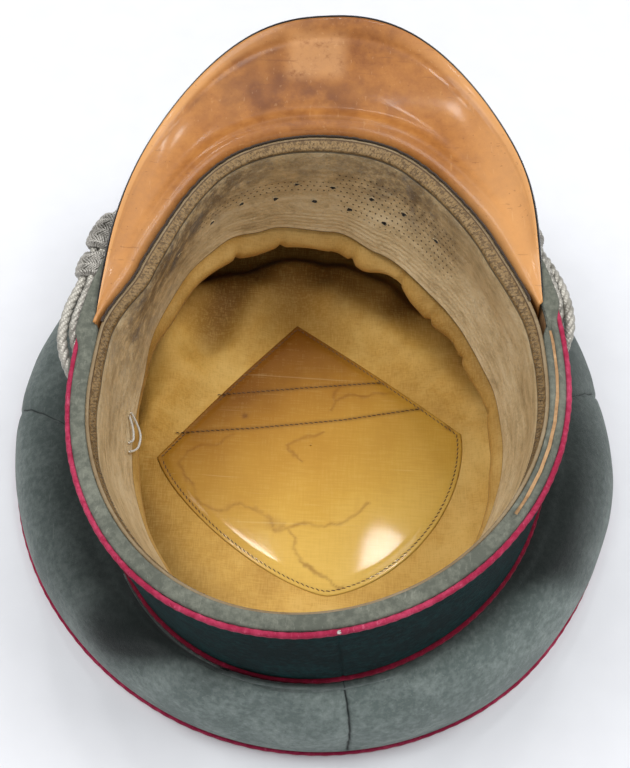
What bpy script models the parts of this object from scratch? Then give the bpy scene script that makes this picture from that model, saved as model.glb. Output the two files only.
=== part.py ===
"""A peaked cap that lies upside down on its crown, its opening up and its peak toward +Y.

Every wall is a ring of cross-sections, one for each direction round the head. A direction is an
angle in degrees from the front, growing toward +X, the cap's right as it lies here.
"""

import math

import bmesh
import bpy
from mathutils import Vector

MM = 0.001

# Gaps and wall thicknesses
CLEARANCE = 0.3 * MM
CLOTH = 1.5 * MM
LINING_CLOTH = 1.0 * MM
LEATHER = 1.2 * MM
PEAK_BOARD = 2.0 * MM
STIFFENER_BOARD = 1.1 * MM
SHIELD_SHEET = 0.6 * MM
PIPING_RADIUS = 1.1 * MM

# The rim round the head: an oval that leans to one side and rises a little at front and back
RIM_HALF_WIDTH = 86.0 * MM
RIM_BACK = 95.6 * MM
RIM_FRONT = 112.0 * MM
RIM_FRONT_FULLNESS = 2.1
RIM_SKEW = 2.0 * MM
RIM_HEIGHT = 94.2 * MM
RIM_LEAN = math.radians(5.0)
RIM_FRONT_RISE = 4.0 * MM
RIM_BACK_RISE = 6.8 * MM

# The band below the rim, and the board and strip inside it
BAND_HEIGHT = 53.7 * MM
BAND_TAPER = 2.6 * MM
STIFFENER_HEIGHT = 49.0 * MM
STRIP_LIP = 7.0 * MM
STRIP_FOLD = 1.2 * MM
STRIP_CROWNING = 1.0 * MM
STIFFENER_SHOWS_FROM = 79.0
STIFFENER_SHOWS_TO = 130.0

# The leather inside the band
SWEATBAND_WIDTH = 49.0 * MM
SWEATBAND_LEAN = 10.0 * MM

# The crown
CROWN_HALF_WIDTH = 126.8 * MM
CROWN_HALF_LENGTH = 133.5 * MM
CROWN_FORWARD = 27.3 * MM
CROWN_ASIDE = 3.1 * MM
CROWN_BULGE = 20.0 * MM
SEAM_LEFT = -91.0
SEAM_RIGHT = 82.0
SEAM_BACK = 173.0

# The lining, and the sheet sewn on it
LINING_EDGE = 12.0 * MM
LINING_PUFF = 9.0 * MM
SHIELD_HALF_WIDTH = 64.5 * MM
SHIELD_TOP = 61.0 * MM
SHIELD_BOTTOM = 67.0 * MM
SHIELD_FORWARD = 20.0 * MM
SHIELD_TURN = math.radians(8.0)
SHIELD_ROUND_LEFT = 1.35
SHIELD_ROUND_RIGHT = 1.75

# The peak: its corners on the rim, how far its edge reaches ahead of them, and its form
PEAK_CORNER_LEFT = 81.0
PEAK_CORNER_RIGHT = 76.0
PEAK_REACH = 130.0 * MM
PEAK_FULLNESS = 2.46
PEAK_PITCH = math.radians(10.0)
PEAK_EDGE_DIP = 8.5 * MM
PEAK_FLANGE = 7.0 * MM
PEAK_SAG = 3.0 * MM
PEAK_BEAD = 0.8 * MM
PEAK_BEAD_PLACE = 0.90
PEAK_FOLD_RUN = 22.0

# The chin cord, its slides and its buttons
CORD_RADIUS = 2.0 * MM
KNOT_FULLNESS = 2.6
KNOT_TAPER = 0.15
BUTTON_RADIUS = 6.0 * MM
BUTTON_DOME = 2.6 * MM
BUTTON_STEM_RADIUS = 1.5 * MM
BUTTON_LEFT = -86.4
BUTTON_RIGHT = 79.5
BUTTON_DEPTH = 27.0 * MM

# How finely the round pieces are cut
RING_STEPS = 56
PANEL_STEPS = 6
BOARD_STEPS = 7
PIPING_SIDES = 5
CORD_SIDES = 6
TURNED_SIDES = 12

# Derived places, as depths into the wall from the outline of the rim
BAND_INSET = CLEARANCE
OUTER_LIP_INSET = BAND_INSET + CLOTH + CLEARANCE
STIFFENER_INSET = OUTER_LIP_INSET + STRIP_FOLD + CLEARANCE
INNER_LIP_INSET = STIFFENER_INSET + STIFFENER_BOARD + CLEARANCE
SWEATBAND_INSET = INNER_LIP_INSET + STRIP_FOLD + CLEARANCE
FLANGE_INSET = INNER_LIP_INSET
FRONT_SWEATBAND_INSET = FLANGE_INSET + PEAK_BOARD + CLEARANCE
PIPING_LIFT = PIPING_RADIUS + 0.5 * CLEARANCE
PANEL_FOOT = PIPING_LIFT + PIPING_RADIUS + CLEARANCE

# The axes of the leaning rim
ACROSS = Vector((math.cos(RIM_LEAN), 0.0, math.sin(RIM_LEAN)))
AHEAD = Vector((0.0, 1.0, 0.0))
UP = ACROSS.cross(AHEAD)
RIM_MIDDLE = Vector((0.0, 0.0, RIM_HEIGHT))

# How far the sweatband leans in at its deep edge, as a share of SWEATBAND_LEAN, and how wide it
# is, as a share of SWEATBAND_WIDTH
SWEATBAND_LEANS = (
    # direction, lean, width
    (0.0, 0.45, 1.0),
    (17.0, 1.05, 1.0),
    (40.0, 1.3, 1.0),
    (60.0, 1.15, 1.0),
    (85.0, 0.8, 1.0),
    (105.0, 0.85, 1.0),
    (140.0, 0.65, 1.0),
    (180.0, 0.55, 1.0),
    (230.0, 0.5, 1.0),
    (255.0, 0.4, 1.0),
    (280.0, 0.28, 1.0),
    (297.0, 0.18, 0.95),
    (315.0, 0.05, 0.9),
    (340.0, 0.2, 0.95),
)

# How the crown's side leaves the band, as a share of its run outward, how it rises there and how
# high its shoulder is, both as shares of CROWN_BULGE, and how far the crown's outline strays from
# its oval, as a share of CROWN_BULGE too
CROWN_SWELLS = (
    # direction, reach, rise, shoulder, stray
    (0.0, 0.45, 0.3, 1.0, 0.0),
    (45.0, 0.45, 0.3, 0.5, -0.3),
    (78.0, 0.45, 0.2, 0.35, -0.35),
    (110.0, 0.45, 0.5, 0.7, -0.15),
    (150.0, 0.4, 0.4, 0.8, 0.0),
    (173.0, 0.4, 0.3, 0.7, 0.0),
    (205.0, 0.15, 0.8, 0.8, 0.0),
    (235.0, 0.4, 0.5, 0.8, 0.0),
    (263.0, 0.45, 0.4, 0.7, -0.05),
    (300.0, 0.45, 0.3, 0.6, -0.15),
)

# How far the lining puffs in below the sweatband, as a share of LINING_PUFF
LINING_PUFFS = (
    # direction, puff
    (0.0, 0.8),
    (12.0, 1.0),
    (25.0, 0.7),
    (40.0, 1.0),
    (55.0, 0.75),
    (75.0, 0.9),
    (95.0, 0.5),
    (115.0, 0.1),
    (150.0, 0.0),
    (280.0, 0.0),
    (305.0, 0.5),
    (325.0, 0.9),
    (345.0, 0.6),
)

# The chin cord's two strands, from the left button round the front to the right one: direction,
# depth below the rim and distance out from the band, in mm
CORD_OUTER = (
    (-89.0, 27.0, 2.5),
    (-88.8, 15.0, 2.6),
    (-86.6, 8.6, 5.4),
    (-82.5, 5.2, 8.4),
    (-76.5, 5.0, 9.2),
    (-71.8, 5.0, 8.4),
    (-67.7, 5.0, 9.0),
    (-60.0, 5.0, 10.6),
    (-51.0, 5.0, 10.0),
    (-38.0, 5.0, 7.6),
    (-19.0, 5.0, 6.9),
    (0.0, 5.0, 6.9),
    (19.0, 6.5, 6.6),
    (37.0, 8.8, 5.4),
    (49.5, 9.2, 5.7),
    (57.2, 8.6, 5.2),
    (63.0, 7.8, 6.2),
    (70.0, 6.4, 6.8),
    (75.5, 6.4, 6.4),
    (79.2, 8.2, 5.2),
    (81.9, 15.0, 2.6),
    (82.1, 27.0, 2.5),
)
CORD_INNER = (
    (-83.8, 27.0, 2.5),
    (-83.8, 15.0, 2.5),
    (-83.6, 7.6, 3.0),
    (-81.0, 3.8, 4.2),
    (-77.0, 3.2, 4.2),
    (-71.8, 3.2, 4.0),
    (-67.7, 3.4, 4.8),
    (-60.0, 3.4, 6.2),
    (-51.0, 3.2, 5.5),
    (-38.0, 3.0, 3.2),
    (-19.0, 3.0, 2.6),
    (0.0, 3.0, 2.6),
    (19.0, 3.2, 3.2),
    (37.0, 4.4, 5.0),
    (49.5, 4.8, 5.5),
    (57.2, 4.2, 4.9),
    (63.0, 3.7, 3.8),
    (68.0, 3.2, 2.6),
    (73.5, 3.6, 2.6),
    (76.6, 7.6, 2.5),
    (76.9, 15.0, 2.5),
    (76.9, 27.0, 2.5),
)

# Where the cord turns round each button, below its stem
CORD_TURN_RIGHT = (79.5, 31.0, 2.5)
CORD_TURN_LEFT = (-86.4, 31.0, 2.5)

# The slides round both strands: direction, length, half width and half thickness, in mm
SLIDES = (
    ("slide_knot_left", -60.0, 13.5, 6.8, 4.8),
    ("keeper_knot_left", -67.7, 8.0, 6.2, 4.2),
    ("slide_knot_right", 49.5, 13.5, 6.8, 4.8),
    ("keeper_knot_right", 57.2, 8.0, 6.2, 4.2),
)


def signed_power(value, exponent):
    return math.copysign(abs(value) ** exponent, value)


def smooth_step(value, start, end):
    share = min(max((value - start) / (end - start), 0.0), 1.0)
    return share * share * (3.0 - 2.0 * share)


def from_table(rows, direction, column):
    """The value of a column at a direction, blended smoothly between the rows round the ring."""
    direction = direction % 360.0
    for place, row in enumerate(rows):
        after = rows[(place + 1) % len(rows)]
        end = after[0] if after[0] > row[0] else after[0] + 360.0
        if row[0] <= direction <= end:
            blend = smooth_step(direction, row[0], end)
            return row[column] + (after[column] - row[column]) * blend
    return rows[0][column]


def rim_point(direction, inset=0.0, depth=0.0):
    """A point of the wall round the head, inset from the rim's outline and some depth below it."""
    angle = math.radians(direction)
    side = math.sin(angle)
    ahead = math.cos(angle)
    in_front = ahead > 0.0
    half_length = RIM_FRONT if in_front else RIM_BACK
    power = 2.0 / (RIM_FRONT_FULLNESS if in_front else 2.0)
    rise = (RIM_FRONT_RISE if in_front else RIM_BACK_RISE) * ahead * ahead
    inset += BAND_TAPER * depth / BAND_HEIGHT
    across = (RIM_HALF_WIDTH - inset) * signed_power(side, power)
    forward = (half_length - inset) * signed_power(ahead, power) - RIM_SKEW * math.sin(2.0 * angle)
    return RIM_MIDDLE + ACROSS * across + AHEAD * forward + UP * (rise - depth)


def crown_point(direction, inset=0.0, height=0.0):
    """A point of the crown's outline, inset from its edge."""
    angle = math.radians(direction)
    stray = from_table(CROWN_SWELLS, direction, 4) * CROWN_BULGE
    x = CROWN_ASIDE + (CROWN_HALF_WIDTH + stray - inset) * math.sin(angle)
    y = CROWN_FORWARD + (CROWN_HALF_LENGTH + stray - inset) * math.cos(angle)
    return Vector((x, y, height))


def ring_directions():
    return [360.0 * place / RING_STEPS for place in range(RING_STEPS)]


def arc_directions(first, last):
    """Directions of an arc that fall on the whole ring's own, with its two ends added."""
    step = 360.0 / RING_STEPS
    inner = [d * step for d in range(math.floor(first / step) + 1, math.ceil(last / step))]
    inner = [d for d in inner if d - first > 0.2 * step and last - d > 0.2 * step]
    return [first] + inner + [last]


def bezier(start, first, second, end, steps):
    """Points along a cubic curve, with both ends."""
    points = []
    for place in range(steps + 1):
        t = place / steps
        s = 1.0 - t
        points.append(
            start * s**3 + first * (3.0 * s * s * t) + second * (3.0 * s * t * t) + end * t**3
        )
    return points


def offset_profile(points, along, distances):
    """The profile moved sideways by its distances, in its own plane, whose normal is along."""
    moved = []
    for place, point in enumerate(points):
        before = points[max(place - 1, 0)]
        after = points[min(place + 1, len(points) - 1)]
        sideways = (after - before).cross(along).normalized()
        moved.append(point + sideways * distances[place])
    return moved


def along_ring(curve, direction, **places):
    """The horizontal run of a ring at a direction."""
    run = curve(direction + 1.0, **places) - curve(direction - 1.0, **places)
    return run.normalized()


def material(name, color, roughness, metallic=0.0):
    made = bpy.data.materials.new(name)
    made.use_nodes = True
    shader = made.node_tree.nodes["Principled BSDF"]
    shader.inputs["Base Color"].default_value = (*color, 1.0)
    shader.inputs["Roughness"].default_value = roughness
    shader.inputs["Metallic"].default_value = metallic
    return made


def mesh_object(name, mesh_builder, finish, smooth_angle=40.0):
    """A named object from a filled bmesh, with its faces turned outward and its round parts smooth."""
    bmesh.ops.recalc_face_normals(mesh_builder, faces=mesh_builder.faces)
    mesh = bpy.data.meshes.new(name)
    mesh_builder.to_mesh(mesh)
    mesh_builder.free()
    mesh.materials.append(finish)
    mesh.shade_smooth()
    mesh.set_sharp_from_angle(angle=math.radians(smooth_angle))
    made = bpy.data.objects.new(name, mesh)
    bpy.context.scene.collection.objects.link(made)
    made.parent = bpy.data.objects["cap"]
    return made


def swept_solid(name, sections, finish, closed=True):
    """A solid through closed cross-sections, joined into a ring or capped at both ends."""
    builder = bmesh.new()
    loops = [[builder.verts.new(point) for point in section] for section in sections]
    pairs = list(zip(loops, loops[1:]))
    if closed:
        pairs.append((loops[-1], loops[0]))
    for near, far in pairs:
        for place in range(len(near)):
            after = (place + 1) % len(near)
            builder.faces.new((near[place], near[after], far[after], far[place]))
    if not closed:
        builder.faces.new(loops[0])
        builder.faces.new(list(reversed(loops[-1])))
    return mesh_object(name, builder, finish)


def plate(name, outline, thickness, finish):
    """A flat plate that lies on its outline and is as thick as stated."""
    builder = bmesh.new()
    lower = [builder.verts.new(point) for point in outline]
    upper = [builder.verts.new(point + Vector((0.0, 0.0, thickness))) for point in outline]
    builder.faces.new(lower)
    builder.faces.new(list(reversed(upper)))
    for place in range(len(lower)):
        after = (place + 1) % len(lower)
        builder.faces.new((lower[place], lower[after], upper[after], upper[place]))
    return mesh_object(name, builder, finish)


def round_section(middle, first_axis, second_axis, radius, sides):
    points = []
    for side in range(sides):
        turn = 2.0 * math.pi * side / sides
        points.append(middle + (first_axis * math.cos(turn) + second_axis * math.sin(turn)) * radius)
    return points


def piping(name, curve, finish, **places):
    """A round cord sewn along a ring."""
    sections = []
    for direction in ring_directions():
        run = along_ring(curve, direction, **places)
        outward = run.cross(UP).normalized()
        upward = outward.cross(run)
        sections.append(
            round_section(curve(direction, **places), outward, upward, PIPING_RADIUS, PIPING_SIDES)
        )
    return swept_solid(name, sections, finish)


def band_wall(direction, inset, thickness, top, bottom):
    """The cross-section of an upright wall of the band."""
    return [
        rim_point(direction, inset, top),
        rim_point(direction, inset, bottom),
        rim_point(direction, inset + thickness, bottom),
        rim_point(direction, inset + thickness, top),
    ]


def make_band(finish):
    top = PIPING_RADIUS + CLEARANCE
    bottom = BAND_HEIGHT - PIPING_RADIUS - CLEARANCE
    sections = [band_wall(d, BAND_INSET, CLOTH, top, bottom) for d in ring_directions()]
    return swept_solid("band", sections, finish)


def stiffener_top(direction):
    """The depth of the board's upper edge, which comes up into the gap of the strip on the right."""
    shown = smooth_step(direction, STIFFENER_SHOWS_FROM, STIFFENER_SHOWS_FROM + 6.0)
    shown *= 1.0 - smooth_step(direction, STIFFENER_SHOWS_TO - 6.0, STIFFENER_SHOWS_TO)
    hidden_depth = STRIP_FOLD - STRIP_CROWNING + 2.0 * CLEARANCE
    return hidden_depth * (1.0 - shown) - STRIP_CROWNING * shown


def make_stiffener(finish):
    bottom = PIPING_RADIUS + STIFFENER_HEIGHT
    sections = []
    for direction in ring_directions():
        top = stiffener_top(direction)
        sections.append(band_wall(direction, STIFFENER_INSET, STIFFENER_BOARD, top, bottom))
    return swept_solid("band_stiffener", sections, finish)


def from_front(direction):
    """The angle away from the front, whichever the side."""
    return abs((direction + 180.0) % 360.0 - 180.0)


def strip_section(direction):
    """An upturned channel over the edges of band and board. Its inner lip ends before the peak."""
    widest_corner = max(PEAK_CORNER_LEFT, PEAK_CORNER_RIGHT)
    past_corner = from_front(direction) - widest_corner
    beyond_board = smooth_step(past_corner, 3.0, 5.0)
    lipped = smooth_step(past_corner, 5.0, 9.0)
    start = PIPING_RADIUS + CLEARANCE
    fold = STRIP_FOLD
    under = fold - STRIP_CROWNING
    outer = OUTER_LIP_INSET
    inner = INNER_LIP_INSET - (CLEARANCE + 0.3 * fold) * (1.0 - beyond_board)
    inner_end = inner + fold * (0.3 + 0.7 * lipped)
    lip = under + 0.1 * fold + (STRIP_LIP - under) * lipped
    places = (
        (start, under),
        (start, -0.5 * STRIP_CROWNING),
        (start + fold, -STRIP_CROWNING),
        (inner_end, -STRIP_CROWNING),
        (inner_end, lip),
        (inner, lip),
        (inner, under),
        (outer + fold, under),
        (outer + fold, STRIP_LIP),
        (outer, STRIP_LIP),
        (outer, under),
    )
    return [rim_point(direction, inset, depth) for inset, depth in places]


def make_strip(finish):
    """The cloth strip round the rim, with a gap on the right where the board's edge shows."""
    past_corner = max(PEAK_CORNER_LEFT, PEAK_CORNER_RIGHT) + 5.0
    directions = sorted([*ring_directions(), past_corner, 360.0 - past_corner])
    strip = swept_solid("rim_strip", [strip_section(d) for d in directions], finish)
    slot_start = STIFFENER_INSET - CLEARANCE
    width = STIFFENER_BOARD + 2.0 * CLEARANCE
    slot = [
        band_wall(d, slot_start, width, -3.0 * STRIP_CROWNING, 0.5 * STRIP_LIP)
        for d in arc_directions(STIFFENER_SHOWS_FROM - 3.0, STIFFENER_SHOWS_TO + 3.0)
    ]
    cutter = swept_solid("strip_slot_cutter", slot, finish, closed=False)
    cutter.hide_render = True
    cutter.display_type = "WIRE"
    cut = strip.modifiers.new("slot", "BOOLEAN")
    cut.operation = "DIFFERENCE"
    cut.solver = "EXACT"
    cut.object = cutter
    return strip


def sweatband_inset(direction):
    """How deep in the wall the leather starts: the peak's flange is thicker than the strip's lip."""
    widest_corner = max(PEAK_CORNER_LEFT, PEAK_CORNER_RIGHT)
    beside_flange = 1.0 - smooth_step(from_front(direction), widest_corner + 3.0, widest_corner + 25.0)
    return SWEATBAND_INSET + (FRONT_SWEATBAND_INSET - SWEATBAND_INSET) * beside_flange


def sweatband_place(direction, share):
    """Inset and depth of the leather's outer face at a share of its width from its sewn edge."""
    lean = from_table(SWEATBAND_LEANS, direction, 1) * SWEATBAND_LEAN
    width = from_table(SWEATBAND_LEANS, direction, 2) * SWEATBAND_WIDTH
    bend = smooth_step(share, 0.0, 1.6) / smooth_step(1.0, 0.0, 1.6)
    return sweatband_inset(direction) + lean * bend, share * width - STRIP_CROWNING


def make_sweatband(finish):
    shares = (0.0, 0.3, 0.65, 1.0)
    sections = []
    for direction in ring_directions():
        places = [sweatband_place(direction, share) for share in shares]
        outer = [rim_point(direction, inset, depth) for inset, depth in places]
        inner = [rim_point(direction, inset + LEATHER, depth) for inset, depth in places]
        sections.append(outer + inner[::-1])
    return swept_solid("sweatband", sections, finish)


def panel_profile(direction):
    """The outer face of the crown's side, from below the band's piping to above the crown's."""
    below_piping = BAND_HEIGHT + PIPING_RADIUS + CLEARANCE
    sewn = rim_point(direction, BAND_INSET, below_piping)
    start = rim_point(direction, -PIPING_RADIUS - 2.0 * CLEARANCE, below_piping)
    end = crown_point(direction, height=PANEL_FOOT)
    run = Vector((end.x - start.x, end.y - start.y, 0.0))
    reach = from_table(CROWN_SWELLS, direction, 1)
    rise = from_table(CROWN_SWELLS, direction, 2) * CROWN_BULGE
    shoulder = from_table(CROWN_SWELLS, direction, 3) * CROWN_BULGE
    leave = run * reach + Vector((0.0, 0.0, rise))
    arrive = Vector((0.0, 0.0, shoulder)) + run.normalized() * (0.1 * CROWN_BULGE)
    return [sewn] + bezier(start, start + leave, end + arrive, end, PANEL_STEPS)


def panel_section(direction):
    """Both faces of the cloth, in the upright plane of the outer face's profile."""
    outer = panel_profile(direction)
    run = outer[-1] - outer[0]
    along = Vector((-run.y, run.x, 0.0)).normalized()
    if along.dot(along_ring(crown_point, direction)) < 0.0:
        along = -along
    inner = offset_profile(outer, along, [CLOTH] * len(outer))
    return outer + inner[::-1]


def make_panels(finish):
    """Three pieces of cloth with a seam's gap between them."""
    gap = math.degrees(0.5 * CLEARANCE / CROWN_HALF_WIDTH) * 1.5
    spans = (
        ("crown_front", SEAM_LEFT, SEAM_RIGHT),
        ("crown_back_right", SEAM_RIGHT, SEAM_BACK),
        ("crown_back_left", SEAM_BACK, SEAM_LEFT + 360.0),
    )
    for name, first, last in spans:
        directions = arc_directions(first + gap, last - gap)
        sections = [panel_section(direction) for direction in directions]
        swept_solid(name, sections, finish, closed=False)


def make_crown_top(finish):
    inset = PIPING_RADIUS + CLEARANCE
    outline = [crown_point(direction, inset) for direction in ring_directions()]
    return plate("crown_top", outline, CLOTH, finish)


def lining_floor(direction, share):
    """A point of the lining's underside, at a share of the way from the middle to its edge."""
    height = CLOTH + CLEARANCE
    edge = crown_point(direction, LINING_EDGE, height)
    middle = Vector((CROWN_ASIDE, CROWN_FORWARD, height))
    return middle + (edge - middle) * share


def make_lining_top(finish):
    outline = [lining_floor(direction, 1.0) for direction in ring_directions()]
    return plate("lining_top", outline, LINING_CLOTH, finish)


def make_lining_side(finish):
    """The side lining hangs behind the leather, puffs in below it and runs out to the crown's edge."""
    sections = []
    hang = SWEATBAND_WIDTH - 6.0 * MM
    start_inset = STIFFENER_INSET + STIFFENER_BOARD + CLEARANCE
    for direction in ring_directions():
        along = along_ring(crown_point, direction)
        start = rim_point(direction, start_inset, hang)
        puff = from_table(LINING_PUFFS, direction, 1) * LINING_PUFF
        leather_inset, leather_depth = sweatband_place(direction, 1.0)
        below = rim_point(
            direction,
            leather_inset + puff * 0.5,
            leather_depth + 1.5 * MM + 0.6 * LINING_PUFF,
        )
        foot = crown_point(direction, LINING_EDGE - 1.5 * LINING_CLOTH - CLEARANCE)
        foot.z = CLOTH + CLEARANCE + LINING_CLOTH
        out = foot + Vector((0.0, 0.0, 0.2 * (below.z - foot.z)))
        upper = bezier(start, start - UP * (6.0 * MM), below + UP * (3.0 * MM), below, 2)
        lower = bezier(below, below - UP * (9.0 * MM), out, foot, 3)
        outer = upper + lower[1:]
        inner = offset_profile(outer, along, [LINING_CLOTH] * len(outer))
        sections.append(outer + inner[::-1])
    return swept_solid("lining_side", sections, finish)


def shield_outline():
    """Two straight edges up to a point, and a rounded bowl below the widest line."""
    corners = [Vector((0.0, SHIELD_TOP, 0.0))]
    for place in range(13):
        angle = math.pi * place / 12
        across = math.cos(angle)
        roundness = SHIELD_ROUND_RIGHT if across > 0.0 else SHIELD_ROUND_LEFT
        x = SHIELD_HALF_WIDTH * signed_power(across, 2.0 / roundness)
        y = -SHIELD_BOTTOM * math.sin(angle) ** (2.0 / roundness)
        corners.append(Vector((x, y, 0.0)))
    turned = []
    for corner in corners:
        x = corner.x * math.cos(SHIELD_TURN) - corner.y * math.sin(SHIELD_TURN)
        y = corner.x * math.sin(SHIELD_TURN) + corner.y * math.cos(SHIELD_TURN)
        turned.append(Vector((x, y + SHIELD_FORWARD, 0.0)))
    return turned


def make_shield(finish):
    height = CLOTH + LINING_CLOTH + 2.0 * CLEARANCE
    outline = [point + Vector((0.0, 0.0, height)) for point in shield_outline()]
    return plate("sweat_shield", outline, SHIELD_SHEET, finish)


def peak_corner(direction):
    return rim_point(direction, FLANGE_INSET + 0.2 * MM, -PIPING_RADIUS - CLEARANCE)


def peak_edge(direction):
    """The outer edge: a full oval from corner to corner that pitches up and dips at its flanks."""
    left = peak_corner(-PEAK_CORNER_LEFT)
    right = peak_corner(PEAK_CORNER_RIGHT)
    span = PEAK_CORNER_LEFT + PEAK_CORNER_RIGHT
    turn = math.pi * ((direction + PEAK_CORNER_LEFT) / span - 0.5)
    across = signed_power(math.sin(turn), 2.0 / PEAK_FULLNESS)
    ahead = abs(math.cos(turn)) ** (2.0 / PEAK_FULLNESS)
    forward = AHEAD * math.cos(PEAK_PITCH) + UP * math.sin(PEAK_PITCH)
    dip = UP * (PEAK_EDGE_DIP * math.sin(2.0 * turn) ** 2)
    return (left + right) * 0.5 + (right - left) * (0.5 * across) + forward * (PEAK_REACH * ahead) - dip


def peak_section(direction):
    """Flange inside the band, fold over the rim's piping, and the board out to the edge."""
    from_corner = min(direction + PEAK_CORNER_LEFT, PEAK_CORNER_RIGHT - direction)
    folded = smooth_step(from_corner, 0.0, PEAK_FOLD_RUN)
    rise_over = PIPING_RADIUS + 2.0 * CLEARANCE
    flange = [
        rim_point(direction, FLANGE_INSET, PEAK_FLANGE),
        rim_point(direction, FLANGE_INSET, -STRIP_CROWNING),
        rim_point(direction, FLANGE_INSET - 0.4 * PEAK_BOARD * folded, -rise_over),
    ]
    fold = rim_point(direction, FLANGE_INSET * (1.0 - 0.5 * folded), -rise_over - 0.4 * MM)
    edge = peak_edge(direction)
    width = (edge - fold).length
    full_width = min(width / (0.35 * PEAK_REACH), 1.0)
    board = []
    for step in range(BOARD_STEPS + 1):
        share = step / BOARD_STEPS
        dip = PEAK_SAG * full_width * math.sin(math.pi * share) * (1.0 - 0.3 * share)
        board.append(fold + (edge - fold) * share - UP * dip)
    outer = flange + board
    along = along_ring(rim_point, direction)
    thickness = []
    for step in range(len(outer)):
        share = (step - len(flange)) / BOARD_STEPS
        bead = PEAK_BEAD * math.exp(-(((share - PEAK_BEAD_PLACE) / 0.06) ** 2))
        thickness.append(-(PEAK_BOARD + bead * full_width))
    inner = offset_profile(outer, along, thickness)
    return outer + inner[::-1]


def make_peak(finish):
    """The board sewn into the rim. Its end sections stop short of the corners, where it is narrow."""
    directions = arc_directions(1.5 - PEAK_CORNER_LEFT, PEAK_CORNER_RIGHT - 1.5)
    sections = [peak_section(direction) for direction in directions]
    return swept_solid("peak", sections, finish, closed=False)


def cord_point(direction, depth, out):
    return rim_point(direction, BAND_INSET - out, depth)


def smooth_loop(points, between):
    """Points of a smooth closed curve through the given ones."""
    count = len(points)
    made = []
    for place in range(count):
        before, start, end, after = (points[(place + step) % count] for step in (-1, 0, 1, 2))
        for step in range(between):
            t = step / between
            made.append(
                0.5
                * (
                    2.0 * start
                    + (end - before) * t
                    + (2.0 * before - 5.0 * start + 4.0 * end - after) * t * t
                    + (3.0 * start - before - 3.0 * end + after) * t**3
                )
            )
    return made


def chin_cord_path():
    """The outer strand to the right, round the button, the inner one back and round the other."""
    rows = (*CORD_OUTER, CORD_TURN_RIGHT, *CORD_INNER[::-1], CORD_TURN_LEFT)
    return smooth_loop([cord_point(d, depth * MM, out * MM) for d, depth, out in rows], 2)


def make_chin_cord(finish):
    path = chin_cord_path()
    count = len(path)
    sections = []
    for place, point in enumerate(path):
        run = (path[(place + 1) % count] - path[place - 1]).normalized()
        outward = Vector((point.x, point.y, 0.0)).normalized()
        first = run.cross(outward).normalized()
        second = run.cross(first).normalized()
        sections.append(round_section(point, first, second, CORD_RADIUS, CORD_SIDES))
    return swept_solid("chin_cord", sections, finish)


def strand_at(strand, direction):
    """The middle of a strand at one of its own directions, and the run between its neighbours."""
    place = next(place for place, row in enumerate(strand) if row[0] == direction)
    before, middle, after = (
        cord_point(d, depth * MM, out * MM) for d, depth, out in strand[place - 1 : place + 2]
    )
    return middle, after - before


def knot_ring(middle, across, outward, half_width, half_thickness):
    """Points of a ring with full corners round a knot's middle line."""
    points = []
    for side in range(TURNED_SIDES):
        turn = 2.0 * math.pi * side / TURNED_SIDES
        reach_across = half_width * signed_power(math.cos(turn), 2.0 / KNOT_FULLNESS)
        reach_out = half_thickness * signed_power(math.sin(turn), 2.0 / KNOT_FULLNESS)
        points.append(middle + across * reach_across + outward * reach_out)
    return points


def make_slides(finish):
    """Woven knots that hold the two strands together."""
    for name, direction, length, half_width, half_thickness in SLIDES:
        inner, inner_run = strand_at(CORD_INNER, direction)
        outer, outer_run = strand_at(CORD_OUTER, direction)
        middle = (inner + outer) * 0.5
        run = (inner_run + outer_run).normalized()
        apart = (outer - inner) - run * (outer - inner).dot(run)
        across = apart.normalized()
        outward = across.cross(run)
        hole_width = 0.5 * apart.length + CORD_RADIUS + 2.0 * CLEARANCE
        hole_thickness = CORD_RADIUS + 3.0 * CLEARANCE
        rings = []
        for step in (-1.0, -0.5, 0.5, 1.0):
            swell = (1.0 - KNOT_TAPER * step * step) * MM
            place = middle + run * (0.5 * length * MM * step)
            rings.append(
                knot_ring(place, across, outward, half_width * swell, half_thickness * swell)
            )
        for step in (1.0, -1.0):
            place = middle + run * (0.5 * length * MM * step)
            rings.append(knot_ring(place, across, outward, hole_width, hole_thickness))
        swept_solid(name, list(zip(*rings)), finish)


def make_buttons(finish):
    """Domed buttons on stems, which the ends of the cord go round."""
    for name, direction in (("side_button_left", BUTTON_LEFT), ("side_button_right", BUTTON_RIGHT)):
        foot = cord_point(direction, BUTTON_DEPTH, 0.0)
        run = along_ring(rim_point, direction)
        outward = run.cross(UP).normalized()
        if outward.dot(Vector((foot.x, foot.y, 0.0))) < 0.0:
            outward = -outward
        down = outward.cross(run).normalized()
        base = 2.0 * CORD_RADIUS + 3.0 * CLEARANCE
        profile = [
            (0.0, CLEARANCE),
            (BUTTON_STEM_RADIUS, CLEARANCE),
            (BUTTON_STEM_RADIUS, base),
            (BUTTON_RADIUS, base),
            (BUTTON_RADIUS, base + 0.25 * BUTTON_DOME),
            (0.75 * BUTTON_RADIUS, base + 0.75 * BUTTON_DOME),
            (0.4 * BUTTON_RADIUS, base + 0.95 * BUTTON_DOME),
            (0.0, base + BUTTON_DOME),
        ]
        builder = bmesh.new()
        turned = []
        for radius, height in profile:
            middle = foot + outward * height
            if radius == 0.0:
                turned.append([builder.verts.new(middle)])
            else:
                points = round_section(middle, run, down, radius, TURNED_SIDES)
                turned.append([builder.verts.new(point) for point in points])
        for near, far in zip(turned, turned[1:]):
            for place in range(TURNED_SIDES):
                after = (place + 1) % TURNED_SIDES
                corners = [near[place % len(near)], near[after % len(near)]]
                corners += [far[after % len(far)], far[place % len(far)]]
                builder.faces.new(list(dict.fromkeys(corners)))
        mesh_object(name, builder, finish)


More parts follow.
